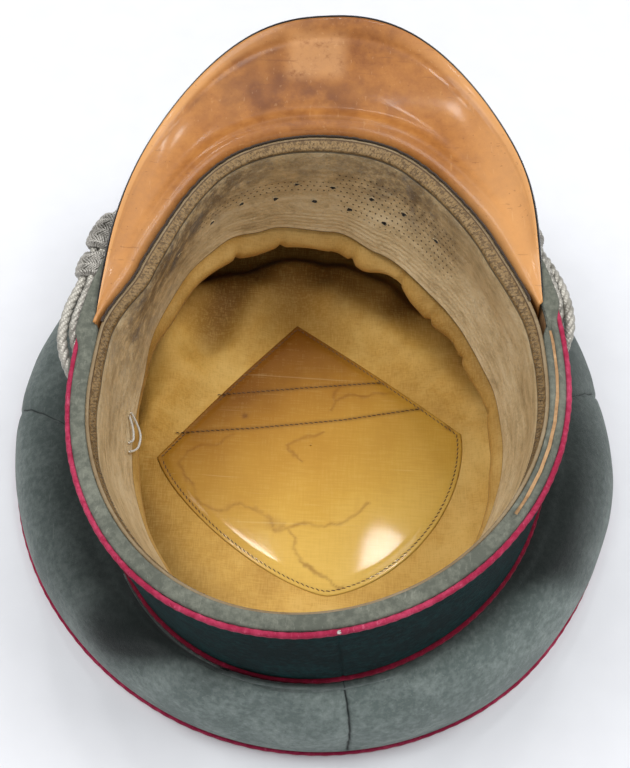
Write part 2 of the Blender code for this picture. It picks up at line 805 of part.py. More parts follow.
def stand_on_origin():
    """Moves the whole cap so that the middle of its outline is over the origin."""
    cap = bpy.data.objects["cap"]
    corners = []
    for piece in cap.children:
        if not piece.hide_render:
            corners += [vertex.co for vertex in piece.data.vertices]
    for axis in (0, 1):
        low = min(corner[axis] for corner in corners)
        high = max(corner[axis] for corner in corners)
        cap.location[axis] = -0.5 * (low + high)


def main():
    for old in list(bpy.data.objects):
        bpy.data.objects.remove(old, do_unlink=True)
    cap = bpy.data.objects.new("cap", None)
    bpy.context.scene.collection.objects.link(cap)

    grey_wool = material("field_grey_wool", (0.155, 0.195, 0.18), 0.95)
    green_wool = material("dark_green_wool", (0.012, 0.03, 0.032), 0.95)
    carmine_wool = material("carmine_wool", (0.55, 0.03, 0.11), 0.9)
    board = material("tan_board", (0.55, 0.33, 0.17), 0.8)
    leather = material("grey_brown_leather", (0.27, 0.2, 0.11), 0.6)
    gold_cloth = material("gold_lining", (0.5, 0.32, 0.09), 0.6)
    celluloid = material("yellow_celluloid", (0.6, 0.4, 0.1), 0.15)
    peak_finish = material("tan_fibre", (0.55, 0.24, 0.06), 0.35)
    silver_cord = material("silver_cord", (0.55, 0.54, 0.5), 0.4, 0.6)
    silver = material("silver_button", (0.7, 0.7, 0.68), 0.3, 1.0)

    make_crown_top(grey_wool)
    make_panels(grey_wool)
    piping("crown_piping", crown_point, carmine_wool, height=PIPING_LIFT)
    piping("band_upper_piping", rim_point, carmine_wool, depth=BAND_HEIGHT)
    piping("rim_piping", rim_point, carmine_wool)
    make_band(green_wool)
    make_stiffener(board)
    make_strip(grey_wool)
    make_sweatband(leather)
    make_lining_top(gold_cloth)
    make_lining_side(gold_cloth)
    make_shield(celluloid)
    make_peak(peak_finish)
    make_chin_cord(silver_cord)
    make_slides(silver_cord)
    make_buttons(silver)
    stand_on_origin()


main()
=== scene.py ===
"""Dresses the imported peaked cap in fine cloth, leather, board, cord and thread, in soft light."""

import math

import bmesh
import bpy
from mathutils import Matrix, Vector, noise


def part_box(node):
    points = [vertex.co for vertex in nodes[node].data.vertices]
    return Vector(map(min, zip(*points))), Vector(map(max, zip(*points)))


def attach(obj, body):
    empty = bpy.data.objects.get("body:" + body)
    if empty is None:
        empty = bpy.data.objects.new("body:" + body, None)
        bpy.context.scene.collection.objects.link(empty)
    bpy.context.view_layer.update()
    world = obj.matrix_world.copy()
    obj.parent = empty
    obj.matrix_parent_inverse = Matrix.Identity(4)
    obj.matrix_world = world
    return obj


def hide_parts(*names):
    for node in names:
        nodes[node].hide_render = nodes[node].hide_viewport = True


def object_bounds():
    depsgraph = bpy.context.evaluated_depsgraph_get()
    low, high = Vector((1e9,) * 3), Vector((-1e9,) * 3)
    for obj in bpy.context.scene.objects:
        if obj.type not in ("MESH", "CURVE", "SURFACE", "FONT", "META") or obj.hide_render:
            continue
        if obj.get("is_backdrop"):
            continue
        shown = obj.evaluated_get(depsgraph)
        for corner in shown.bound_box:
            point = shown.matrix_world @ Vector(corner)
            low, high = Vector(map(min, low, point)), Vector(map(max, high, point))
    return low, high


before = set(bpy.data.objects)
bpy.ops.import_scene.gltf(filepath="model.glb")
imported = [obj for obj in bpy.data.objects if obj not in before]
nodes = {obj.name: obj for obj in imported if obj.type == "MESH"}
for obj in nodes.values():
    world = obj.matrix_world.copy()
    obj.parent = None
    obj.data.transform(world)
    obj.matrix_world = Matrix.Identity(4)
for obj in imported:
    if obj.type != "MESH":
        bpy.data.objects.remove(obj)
cad_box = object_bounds()

MM = 0.001

# The sizes of the solids, as in the part's own source
CLEARANCE = 0.3 * MM
CLOTH = 1.5 * MM
LINING_CLOTH = 1.0 * MM
LEATHER = 1.2 * MM
PEAK_BOARD = 2.0 * MM
STIFFENER_BOARD = 1.1 * MM
SHIELD_SHEET = 0.6 * MM
PIPING_RADIUS = 1.1 * MM
RIM_HALF_WIDTH = 86.0 * MM
RIM_BACK = 95.6 * MM
RIM_FRONT = 112.0 * MM
RIM_FRONT_FULLNESS = 2.1
RIM_SKEW = 2.0 * MM
RIM_HEIGHT = 94.2 * MM
RIM_LEAN = math.radians(5.0)
RIM_FRONT_RISE = 4.0 * MM
RIM_BACK_RISE = 6.8 * MM
BAND_HEIGHT = 53.7 * MM
BAND_TAPER = 2.6 * MM
STRIP_LIP = 7.0 * MM
STRIP_FOLD = 1.2 * MM
STRIP_CROWNING = 1.0 * MM
STIFFENER_SHOWS_FROM = 79.0
STIFFENER_SHOWS_TO = 130.0
SWEATBAND_WIDTH = 49.0 * MM
SWEATBAND_LEAN = 10.0 * MM
CROWN_HALF_WIDTH = 126.8 * MM
CROWN_HALF_LENGTH = 133.5 * MM
CROWN_FORWARD = 27.3 * MM
CROWN_ASIDE = 3.1 * MM
CROWN_BULGE = 20.0 * MM
SEAM_LEFT = -91.0
SEAM_RIGHT = 82.0
SEAM_BACK = 173.0
LINING_EDGE = 12.0 * MM
LINING_PUFF = 9.0 * MM
SHIELD_HALF_WIDTH = 64.5 * MM
SHIELD_TOP = 61.0 * MM
SHIELD_BOTTOM = 67.0 * MM
SHIELD_FORWARD = 20.0 * MM
SHIELD_TURN = math.radians(8.0)
SHIELD_ROUND_LEFT = 1.35
SHIELD_ROUND_RIGHT = 1.75
PEAK_CORNER_LEFT = 81.0
PEAK_CORNER_RIGHT = 76.0
PEAK_REACH = 130.0 * MM
PEAK_FULLNESS = 2.46
PEAK_PITCH = math.radians(10.0)
PEAK_EDGE_DIP = 8.5 * MM
PEAK_FLANGE = 7.0 * MM
PEAK_SAG = 3.0 * MM
PEAK_BEAD = 0.8 * MM
PEAK_BEAD_PLACE = 0.90
PEAK_FOLD_RUN = 22.0
CORD_RADIUS = 2.0 * MM
BUTTON_RADIUS = 6.0 * MM
BUTTON_DOME = 2.6 * MM
BUTTON_STEM_RADIUS = 1.5 * MM
BUTTON_LEFT = -86.4
BUTTON_RIGHT = 79.5
BUTTON_DEPTH = 27.0 * MM
RING_STEPS = 56

# Depths into the wall, from the outline of the rim
BAND_INSET = CLEARANCE
OUTER_LIP_INSET = BAND_INSET + CLOTH + CLEARANCE
STIFFENER_INSET = OUTER_LIP_INSET + STRIP_FOLD + CLEARANCE
INNER_LIP_INSET = STIFFENER_INSET + STIFFENER_BOARD + CLEARANCE
SWEATBAND_INSET = INNER_LIP_INSET + STRIP_FOLD + CLEARANCE
FLANGE_INSET = INNER_LIP_INSET
FRONT_SWEATBAND_INSET = FLANGE_INSET + PEAK_BOARD + CLEARANCE
PIPING_LIFT = PIPING_RADIUS + 0.5 * CLEARANCE
PANEL_FOOT = PIPING_LIFT + PIPING_RADIUS + CLEARANCE
LINING_HEIGHT = CLOTH + CLEARANCE + LINING_CLOTH

ACROSS = Vector((math.cos(RIM_LEAN), 0.0, math.sin(RIM_LEAN)))
AHEAD = Vector((0.0, 1.0, 0.0))
UP = ACROSS.cross(AHEAD)
UPRIGHT = Vector((0.0, 0.0, 1.0))
RIM_MIDDLE = Vector((0.0, 0.0, RIM_HEIGHT))

SWEATBAND_LEANS = (
    # direction, lean, width
    (0.0, 0.45, 1.0),
    (17.0, 1.05, 1.0),
    (40.0, 1.3, 1.0),
    (60.0, 1.15, 1.0),
    (85.0, 0.8, 1.0),
    (105.0, 0.85, 1.0),
    (140.0, 0.65, 1.0),
    (180.0, 0.55, 1.0),
    (230.0, 0.5, 1.0),
    (255.0, 0.4, 1.0),
    (280.0, 0.12, 1.0),
    (297.0, -0.15, 0.95),
    (315.0, -0.25, 0.9),
    (327.0, -0.2, 0.9),
    (340.0, 0.05, 0.95),
)
CROWN_SWELLS = (
    # direction, reach, rise, shoulder, stray
    (0.0, 0.45, 0.3, 1.0, 0.0),
    (45.0, 0.45, 0.3, 0.5, -0.3),
    (78.0, 0.45, 0.2, 0.35, -0.35),
    (110.0, 0.45, 0.5, 0.7, -0.15),
    (150.0, 0.4, 0.4, 0.8, 0.0),
    (173.0, 0.4, 0.3, 0.7, 0.0),
    (205.0, 0.15, 0.8, 0.8, 0.0),
    (235.0, 0.4, 0.5, 0.8, 0.0),
    (263.0, 0.45, 0.4, 0.7, -0.05),
    (300.0, 0.45, 0.3, 0.6, -0.15),
)
LINING_PUFFS = (
    # direction, puff
    (0.0, 0.8),
    (12.0, 1.0),
    (25.0, 0.7),
    (40.0, 1.0),
    (55.0, 0.75),
    (75.0, 0.9),
    (95.0, 0.5),
    (115.0, 0.1),
    (150.0, 0.0),
    (280.0, 0.0),
    (305.0, 0.5),
    (325.0, 0.9),
    (345.0, 0.6),
)

# The chin cord's two strands: direction, depth below the rim and distance out from the band, in mm
CORD_OUTER = (
    (-89.0, 27.0, 2.5),
    (-88.8, 15.0, 2.6),
    (-86.6, 8.6, 5.4),
    (-82.5, 5.2, 8.4),
    (-76.5, 5.0, 9.2),
    (-71.8, 5.0, 8.4),
    (-67.7, 5.0, 9.0),
    (-60.0, 5.0, 10.6),
    (-51.0, 5.0, 10.0),
    (-38.0, 5.0, 7.6),
    (-19.0, 5.0, 6.9),
    (0.0, 5.0, 6.9),
    (19.0, 6.5, 6.6),
    (37.0, 8.8, 5.4),
    (49.5, 9.2, 5.7),
    (57.2, 8.6, 5.2),
    (63.0, 7.8, 6.2),
    (70.0, 6.4, 6.8),
    (75.5, 6.4, 6.4),
    (79.2, 8.2, 5.2),
    (81.9, 15.0, 2.6),
    (82.1, 27.0, 2.5),
)
CORD_INNER = (
    (-83.8, 27.0, 2.5),
    (-83.8, 15.0, 2.5),
    (-83.6, 7.6, 3.0),
    (-81.0, 3.8, 4.2),
    (-77.0, 3.2, 4.2),
    (-71.8, 3.2, 4.0),
    (-67.7, 3.4, 4.8),
    (-60.0, 3.4, 6.2),
    (-51.0, 3.2, 5.5),
    (-38.0, 3.0, 3.2),
    (-19.0, 3.0, 2.6),
    (0.0, 3.0, 2.6),
    (19.0, 3.2, 3.2),
    (37.0, 4.4, 5.0),
    (49.5, 4.8, 5.5),
    (57.2, 4.2, 4.9),
    (63.0, 3.7, 3.8),
    (68.0, 3.2, 2.6),
    (73.5, 3.6, 2.6),
    (76.6, 7.6, 2.5),
    (76.9, 15.0, 2.5),
    (76.9, 27.0, 2.5),
)
CORD_TURN_RIGHT = (79.5, 31.0, 2.5)
CORD_TURN_LEFT = (-86.4, 31.0, 2.5)
SLIDES = (
    # name, direction, length, half width, half thickness
    ("slide_knot_left", -60.0, 13.5, 6.8, 4.8),
    ("keeper_knot_left", -67.7, 8.0, 6.2, 4.2),
    ("slide_knot_right", 49.5, 13.5, 6.8, 4.8),
    ("keeper_knot_right", 57.2, 8.0, 6.2, 4.2),
)


def signed_power(value, exponent):
    """The power of a value's size, with the value's sign."""
    return math.copysign(abs(value) ** exponent, value)


def smooth_step(value, start, end):
    share = min(max((value - start) / (end - start), 0.0), 1.0)
    return share * share * (3.0 - 2.0 * share)


def between(value, start, risen, falling, end):
    """Nothing, rising smoothly to one, and falling to nothing again."""
    return smooth_step(value, start, risen) * (1.0 - smooth_step(value, falling, end))


def hump(value, middle, half_width):
    """One at the middle, falling smoothly to nothing."""
    return math.exp(-(((value - middle) / half_width) ** 2))


def angle_from(direction, middle):
    """The angle from a middle, from -180 to 180 degrees."""
    return (direction - middle + 180.0) % 360.0 - 180.0


def from_front(direction):
    return abs(angle_from(direction, 0.0))


def turns_of(count):
    """Angles in radians, evenly round a turn."""
    return [2.0 * math.pi * place / count for place in range(count)]


def ring_of(count):
    """Directions in degrees, evenly round the ring."""
    return [360.0 * place / count for place in range(count)]


def from_table(rows, direction, column):
    """The value of a column at a direction, blended smoothly between the rows round the ring."""
    direction = direction % 360.0
    for place, row in enumerate(rows):
        after = rows[(place + 1) % len(rows)]
        end = after[0] if after[0] > row[0] else after[0] + 360.0
        if row[0] <= direction <= end:
            blend = smooth_step(direction, row[0], end)
            return row[column] + (after[column] - row[column]) * blend
    return rows[0][column]


def rim_point(direction, inset=0.0, depth=0.0):
    """A point of the wall round the head, inset from the rim's outline and some depth below it."""
    angle = math.radians(direction)
    side = math.sin(angle)
    ahead = math.cos(angle)
    in_front = ahead > 0.0
    half_length = RIM_FRONT if in_front else RIM_BACK
    power = 2.0 / (RIM_FRONT_FULLNESS if in_front else 2.0)
    rise = (RIM_FRONT_RISE if in_front else RIM_BACK_RISE) * ahead * ahead
    inset += BAND_TAPER * depth / BAND_HEIGHT
    across = (RIM_HALF_WIDTH - inset) * signed_power(side, power)
    forward = (half_length - inset) * signed_power(ahead, power) - RIM_SKEW * math.sin(2.0 * angle)
    return RIM_MIDDLE + ACROSS * across + AHEAD * forward + UP * (rise - depth)


def crown_point(direction, inset=0.0, height=0.0):
    """A point of the crown's outline, inset from its edge."""
    angle = math.radians(direction)
    stray = from_table(CROWN_SWELLS, direction, 4) * CROWN_BULGE
    x = CROWN_ASIDE + (CROWN_HALF_WIDTH + stray - inset) * math.sin(angle)
    y = CROWN_FORWARD + (CROWN_HALF_LENGTH + stray - inset) * math.cos(angle)
    return Vector((x, y, height))


def bezier(start, first, second, end, steps):
    points = []
    for place in range(steps + 1):
        t = place / steps
        s = 1.0 - t
        points.append(start * s**3 + first * (3.0 * s * s * t) + second * (3.0 * s * t * t) + end * t**3)
    return points


def spline(before, start, end, after, steps):
    """Points of a smooth curve from start towards end, without end itself."""
    made = []
    for step in range(steps):
        t = step / steps
        bend = (2.0 * before - 5.0 * start + 4.0 * end - after) * t * t
        twist = (3.0 * start - before - 3.0 * end + after) * t**3
        made.append(0.5 * (2.0 * start + (end - before) * t + bend + twist))
    return made


def offset_profile(points, along, distances):
    """The profile moved sideways by its distances, in its own plane, whose normal is along."""
    moved = []
    for place, point in enumerate(points):
        before = points[max(place - 1, 0)]
        after = points[min(place + 1, len(points) - 1)]
        sideways = (after - before).cross(along).normalized()
        moved.append(point + sideways * distances[place])
    return moved


def along_ring(curve, direction):
    return (curve(direction + 1.0) - curve(direction - 1.0)).normalized()


def frame_shift():
    """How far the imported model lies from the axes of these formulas, read off the band's box."""
    low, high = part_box("band")
    corners = [
        rim_point(direction, inset, depth)
        for direction in ring_of(RING_STEPS)
        for inset in (BAND_INSET, BAND_INSET + CLOTH)
        for depth in (PIPING_RADIUS + CLEARANCE, BAND_HEIGHT - PIPING_RADIUS - CLEARANCE)
    ]
    shift = Vector((0.0, 0.0, 0.0))
    for axis in (0, 1):
        middle = 0.5 * (min(c[axis] for c in corners) + max(c[axis] for c in corners))
        shift[axis] = 0.5 * (low[axis] + high[axis]) - middle
    return shift


SHIFT = frame_shift()


def tint(red, green, blue):
    """A colour as a screen shows it, from 0 to 255, in the even steps of light that shaders use."""
    made = []
    for value in (red, green, blue):
        share = value / 255.0
        made.append(share / 12.92 if share < 0.04045 else ((share + 0.055) / 1.055) ** 2.4)
    return (*made, 1.0)


# The colour of the crown's dark seams, and of the painted shade along its band
SEAM_AND_SHADE_DARK = tint(12, 17, 16)
LEATHER_DARK = tint(150, 128, 92)
LEATHER_LIGHT = tint(234, 218, 184)
# The leather's pricked dots, whose radius is a share of their pitch, and the line of its sewn margin
DOT_PITCH = 2.6 * MM
DOT_RADIUS = 0.09
MARGIN_LINE = 6.0 * MM


class Look:
    """A material, built from a few kinds of node."""

    def __init__(self, name, **sockets):
        self.material = bpy.data.materials.new(name)
        self.material.use_nodes = True
        self.tree = self.material.node_tree
        self.shader = self.tree.nodes["Principled BSDF"]
        self.wear(**sockets)
        places = self.add("ShaderNodeTexCoord")
        self.space = places.outputs["Object"]
        self.flat = places.outputs["UV"]

    def set_socket(self, socket, value):
        if isinstance(value, bpy.types.NodeSocket):
            self.tree.links.new(value, socket)
        else:
            socket.default_value = value

    def add(self, kind, sockets=(), **settings):
        made = self.tree.nodes.new(kind)
        for key, value in settings.items():
            setattr(made, key, value)
        for key, value in dict(sockets).items():
            self.set_socket(made.inputs[key], value)
        return made

    def wear(self, **sockets):
        """Sets or links sockets of the shader, and gives the material."""
        for key, value in sockets.items():
            self.set_socket(self.shader.inputs[key.replace("_", " ")], value)
        return self.material

    def math(self, operation, first, second=0.0, limited=False):
        made = self.add("ShaderNodeMath", {0: first, 1: second}, operation=operation)
        made.use_clamp = limited
        return made.outputs[0]

    def plus(self, first, second):
        return self.math("ADD", first, second)

    def less(self, first, second):
        return self.math("SUBTRACT", first, second)

    def divided(self, first, second):
        return self.math("DIVIDE", first, second)

    def times(self, first, second, limited=False):
        return self.math("MULTIPLY", first, second, limited)

    def weighed(self, first, first_weight, second, second_weight):
        return self.plus(self.times(first, first_weight), self.times(second, second_weight))

    def from_middle(self, value):
        """How far a repeating value is from the middle of its step."""
        return self.less(self.math("FRACT", value), 0.5)

    def noise(self, scale, detail=3.0, rough=0.5, place=None, twist=0.0):
        sockets = {"Vector": place or self.space, "Scale": scale, "Detail": detail}
        sockets.update({"Roughness": rough, "Distortion": twist})
        return self.add("ShaderNodeTexNoise", sockets).outputs[0]

    def streaks(self, scale, x, y, turn, z=1.0, twist=0.0):
        """Noise drawn out along one direction."""
        return self.noise(scale, 2.0, 0.5, self.stretched(self.space, x, y, z, turn), twist)

    def weave(self, scale, drawn, turn, z, weft_weight):
        """Threads of noise that cross."""
        weft = self.streaks(scale, drawn, 1.0, turn, z)
        warp = self.streaks(scale, 1.0, drawn, turn, z)
        return self.weighed(weft, weft_weight, warp, 1.0 - weft_weight)

    def cells(self, scale, feature="F1"):
        sockets = {"Vector": self.space, "Scale": scale}
        return self.add("ShaderNodeTexVoronoi", sockets, feature=feature).outputs["Distance"]

    def stretched(self, place, x, y, z, turn=0.0):
        sockets = {"Vector": place, "Scale": (x, y, z), "Rotation": (0.0, 0.0, turn)}
        return self.add("ShaderNodeMapping", sockets).outputs[0]

    def split(self, place):
        return self.add("ShaderNodeSeparateXYZ", {0: place}).outputs

    def wound(self, pitch, girth):
        """How far from the middle of its turn a place is, on a strand wound slantwise."""
        along, across, _ = self.split(self.flat)
        slant = self.plus(self.divided(along, pitch), self.divided(across, girth))
        return self.math("ABSOLUTE", self.from_middle(slant))

    def mask(self, value, start, end):
        sockets = {"Value": value, "From Min": start, "From Max": end}
        made = self.add("ShaderNodeMapRange", sockets, interpolation_type="SMOOTHSTEP")
        return made.outputs[0]

    def stripe(self, value, middle, half_width, soft):
        """One within half a width of the middle, with soft edges."""
        away = self.math("ABSOLUTE", self.less(value, middle))
        return self.mask(away, half_width + soft, half_width)

    def layered(self, color, *layers):
        """The colour with more over it: where each lies, how strong it is and its colour."""
        for place, strength, more in layers:
            sockets = {0: self.times(place, strength), 6: color, 7: more}
            color = self.add("ShaderNodeMix", sockets, data_type="RGBA").outputs[2]
        return color

    def ramp(self, value, *stops):
        made = self.add("ShaderNodeValToRGB", {0: value})
        elements = made.color_ramp.elements
        while len(elements) < len(stops):
            elements.new(0.5)
        for element, (position, color) in zip(elements, stops):
            element.position = position
            element.color = color
        return made.outputs[0]

    def painted(self):
        """The red, green and blue of the mesh's own paint."""
        made = self.add("ShaderNodeAttribute", attribute_name="paint")
        return self.add("ShaderNodeSeparateColor", {0: made.outputs["Color"]}).outputs

    def bump(self, height, distance, strength):
        sockets = {"Height": height, "Distance": distance, "Strength": strength}
        return self.add("ShaderNodeBump", sockets).outputs[0]


def wool(name, dark, light, fleck, mottle=0.5, sheen=0.06):
    """Felted wool cloth: soft mottling, a fine nap, stray fibres, and dark seams and painted shade where its
    paint marks them.
    """
    look = Look(name, Roughness=0.95, Sheen_Weight=sheen, Sheen_Roughness=0.5, Specular_IOR_Level=0.15)
    clots = look.noise(420.0, 4.0, 0.65)
    nap = look.noise(2600.0, 3.0, 0.7)
    fibres = look.streaks(900.0, 1.0, 0.22, 0.6, twist=1.5)
    shade = look.weighed(look.noise(38.0, 3.0, 0.6), mottle, clots, 0.6)
    color = look.layered(
        look.ramp(look.less(shade, 0.25 * mottle + 0.05), (0.32, dark), (0.6, light)),
        (look.mask(fibres, 0.6, 0.75), 0.3, fleck),
        (look.mask(nap, 0.5, 0.3), 0.4, dark),
        # the paint's red: dark seams and painted shade
        (look.painted()[0], 0.96, SEAM_AND_SHADE_DARK),
    )
    height = look.weighed(clots, 0.7, nap, 0.5)
    return look.wear(Base_Color=color, Normal=look.bump(height, 0.4 * MM, 0.9))


def leather_look():
    """Old leather with a sewn margin, rows of pricked dots, grime and rubbed places."""
    look = Look("old_leather", Specular_IOR_Level=0.3)
    along, across, _ = look.split(look.flat)
    grimy, pricked, rubbed_and_lit = look.painted()
    fine = look.noise(260.0, 5.0, 0.7)
    crumbs = look.noise(900.0, 3.0, 0.7)
    streaks = look.noise(150.0, 5.0, 0.7, look.stretched(look.flat, 0.45, 1.6, 1.0))
    row = look.math("FLOOR", look.divided(across, DOT_PITCH))
    odd = look.times(look.math("MODULO", row, 2.0), 0.5 * DOT_PITCH)
    ways = [look.from_middle(look.divided(way, DOT_PITCH)) for way in (look.plus(along, odd), across)]
    away = look.math("SQRT", look.plus(*[look.math("POWER", way, 2.0) for way in ways]))
    dots = look.times(look.mask(away, DOT_RADIUS + 0.07, DOT_RADIUS), pricked, True)
    sewn_line = look.stripe(across, MARGIN_LINE, 0.3 * MM, 0.35 * MM)
    margin = look.mask(across, MARGIN_LINE - 0.2 * MM, MARGIN_LINE - 0.8 * MM)
    color = look.layered(
        look.ramp(
            look.weighed(look.noise(30.0, 4.0, 0.6), 0.45, streaks, 0.55),
            (0.3, LEATHER_DARK),
            (0.5, tint(208, 186, 146)),
            (0.7, LEATHER_LIGHT),
        ),
        (look.mask(fine, 0.5, 0.72), 0.4, LEATHER_DARK),
        (look.mask(crumbs, 0.55, 0.7), 0.3, LEATHER_LIGHT),
        (look.times(grimy, look.mask(look.noise(140.0, 4.0, 0.7), 0.35, 0.6)), 0.8, tint(98, 82, 66)),
        (look.times(grimy, look.mask(look.noise(75.0, 5.0, 0.7), 0.5, 0.66)), 0.75, tint(100, 100, 106)),
        (look.times(grimy, look.mask(crumbs, 0.56, 0.64)), 0.55, tint(176, 172, 160)),
        (rubbed_and_lit, look.mask(crumbs, 0.3, 0.6), tint(205, 196, 172)),
        (dots, 0.85, tint(38, 30, 22)),
        (sewn_line, 0.75, tint(58, 60, 58)),
        (margin, 0.9, tint(130, 102, 62)),
        (look.times(margin, look.mask(look.noise(700.0, 3.0, 0.7), 0.5, 0.56)), 0.6, tint(66, 46, 26)),
        (look.mask(across, 0.8 * MM, 0.3 * MM), 0.8, tint(62, 44, 26)),
        (look.mask(pricked, 1.2, 1.6), 0.7, tint(84, 60, 32)),
    )
    height = look.weighed(look.cells(800.0), 0.5, fine, 0.9)
    height = look.less(look.less(height, look.times(dots, 1.5)), sewn_line)
    rough = look.plus(look.times(fine, 0.3), 0.45)
    return look.wear(Base_Color=color, Roughness=rough, Normal=look.bump(height, 0.4 * MM, 0.9))


def lining_look(name, dark, middle, light):
    """Thin satin lining: fine threads, with painted shade and painted light from its paint."""
    look = Look(name, Roughness=0.65, Sheen_Weight=0.03, Sheen_Roughness=0.35, Specular_IOR_Level=0.2)
    spots = look.noise(130.0, 3.0, 0.6)
    stain_and_shade, rubbed_and_lit, _ = look.painted()
    weave = look.weave(2100.0, 0.1, 0.35, 0.5, 0.5)
    shade = look.weighed(look.noise(22.0, 4.0, 0.6), 0.8, spots, 0.2)
    color = look.layered(
        look.ramp(shade, (0.26, dark), (0.5, middle), (0.74, light)),
        # the paint's red is painted shade, and its green painted light
        (stain_and_shade, 0.85, tint(88, 50, 8)),
        (rubbed_and_lit, 0.6, light),
        (look.mask(weave, 0.46, 0.62), 0.2, light),
        (look.mask(weave, 0.5, 0.36), 0.2, dark),
    )
    height = look.weighed(weave, 0.8, spots, 0.5)
    return look.wear(Base_Color=color, Normal=look.bump(height, 0.4 * MM, 0.8))


def shield_look():
    """Clear yellowed sheet over cloth: glossy, darkened toward its point by painted shade and lightened on
    its right by painted light, with tide marks and scratches.
    """
    look = Look("yellow_sheet", Specular_IOR_Level=0.2, Coat_Weight=0.2, Coat_Roughness=0.06)
    aside, ahead, _ = look.split(look.space)
    stain_and_shade, sewn, tide = look.painted()
    stray = look.times(look.less(look.noise(25.0, 4.0, 0.6), 0.5), 0.05)
    # painted shade: the sheet darkens further ahead toward its point; painted light: it lightens further to
    # the right
    place = look.less(look.plus(ahead, stray), look.times(aside, 0.6))
    cloth = look.weave(1500.0, 0.08, 0.12, 1.0, 0.6)
    color = look.layered(
        look.ramp(
            look.mask(place, -0.09, 0.06),
            (0.0, tint(222, 184, 88)),
            (0.3, tint(202, 158, 62)),
            (0.6, tint(184, 136, 46)),
            (0.82, tint(164, 114, 32)),
            (1.0, tint(116, 66, 2)),
        ),
        (tide, 0.55, tint(118, 66, 8)),
        (look.times(stain_and_shade, look.mask(look.noise(200.0, 4.0, 0.65), 0.2, 0.5)), 0.85, tint(118, 74, 24)),
        (sewn, 0.5, tint(104, 64, 18)),
        (look.mask(cloth, 0.48, 0.62), 0.09, tint(156, 112, 46)),
        (look.mask(cloth, 0.5, 0.36), 0.06, tint(240, 214, 142)),
        (look.mask(look.streaks(700.0, 0.03, 1.0, 0.7), 0.7, 0.76), 0.1, tint(246, 230, 180)),
    )
    rough = look.plus(look.times(look.noise(90.0, 4.0, 0.6), 0.3), 0.35)
    height = look.plus(look.noise(60.0, 2.0, 0.4), look.times(cloth, 0.05))
    return look.wear(Base_Color=color, Roughness=rough, Normal=look.bump(height, 0.6 * MM, 0.3))


def peak_look():
    """The peak's tan underside: pressed fibre, varnished, with rubbed and worn places, and painted shade at
    its root and inside its bead.
    """
    look = Look("tan_fibre", Specular_IOR_Level=0.3, Coat_Weight=0.2, Coat_Roughness=0.14)
    # the paint's red darkens worn places, and is painted shade at the root and inside the bead
    worn, pale, border = look.painted()
    broad = look.noise(24.0, 5.0, 0.6)
    fine = look.noise(240.0, 4.0, 0.7)
    color = look.layered(
        look.ramp(
            look.weighed(broad, 0.6, fine, 0.4),
            (0.3, tint(124, 68, 20)),
            (0.5, tint(162, 102, 42)),
            (0.7, tint(186, 126, 62)),
        ),
        (look.times(worn, look.mask(look.noise(70.0, 4.0, 0.65), 0.3, 0.62)), 0.9, tint(112, 62, 24)),
        (look.times(pale, look.mask(fine, 0.2, 0.5)), 0.5, tint(208, 156, 104)),
        (border, 0.7, tint(224, 166, 104)),
        (look.mask(look.cells(260.0), 0.1, 0.04), 0.4, tint(110, 60, 24)),
        (look.mask(look.streaks(1100.0, 0.03, 0.7, 0.9), 0.66, 0.72), 0.35, tint(118, 68, 30)),
        (look.mask(look.streaks(1100.0, 0.7, 0.03, 0.5), 0.66, 0.72), 0.12, tint(232, 190, 140)),
    )
    rough = look.plus(look.times(fine, 0.35), 0.34)
    height = look.plus(fine, look.times(broad, 0.4))
    return look.wear(Base_Color=color, Roughness=rough, Normal=look.bump(height, 0.2 * MM, 0.6))


def lacquer_look():
    """Black lacquer on the peak's other face and round its edge."""
    look = Look("black_lacquer", Specular_IOR_Level=0.3, Coat_Weight=0.15, Coat_Roughness=0.1)
    crackle = look.mask(look.cells(420.0, "DISTANCE_TO_EDGE"), 0.0, 0.04)
    worn = look.mask(look.noise(60.0, 5.0, 0.65), 0.62, 0.72)
    color = look.layered(tint(22, 19, 18), (worn, 0.4, tint(74, 58, 44)))
    rough = look.plus(look.times(look.noise(120.0, 4.0, 0.6), 0.3), 0.1)
    return look.wear(Base_Color=color, Roughness=rough, Normal=look.bump(crackle, 0.08 * MM, 0.5))


def wire_look(name, dark, light, pitch, metallic):
    """Fine metal wire wound slantwise round a core."""
    look = Look(name, Metallic=metallic)
    ridge = look.wound(pitch, 4.0 * MM)
    broad = look.noise(150.0, 4.0, 0.65)
    tones = look.ramp(broad, (0.25, dark), (0.5, light))
    color = look.layered(tones, (look.mask(ridge, 0.36, 0.5), 0.5, dark))
    rough = look.plus(look.times(broad, 0.3), 0.28)
    return look.wear(Base_Color=color, Roughness=rough, Normal=look.bump(ridge, 0.2 * MM, 0.9))


def thread_look(name, dark, light):
    """Twisted sewing thread."""
    look = Look(name, Roughness=0.8, Sheen_Weight=0.2)
    ply = look.wound(0.7 * MM, 1.5 * MM)
    color = look.layered(dark, (ply, 1.4, light), (look.noise(300.0), 0.4, dark))
    return look.wear(Base_Color=color, Normal=look.bump(ply, 0.12 * MM, 0.8))


def board_look():
    """Tan pasteboard with a layered, fibrous edge."""
    look = Look("tan_board", Roughness=0.85)
    layers = look.noise(900.0, 3.0, 0.6, look.stretched(look.space, 0.2, 0.2, 1.0))
    shade = look.weighed(layers, 0.5, look.noise(380.0, 4.0, 0.7), 0.5)
    color = look.ramp(shade, (0.3, tint(120, 84, 52)), (0.5, tint(166, 128, 88)), (0.7, tint(192, 156, 114)))
    return look.wear(Base_Color=color, Normal=look.bump(shade, 0.3 * MM, 0.7))


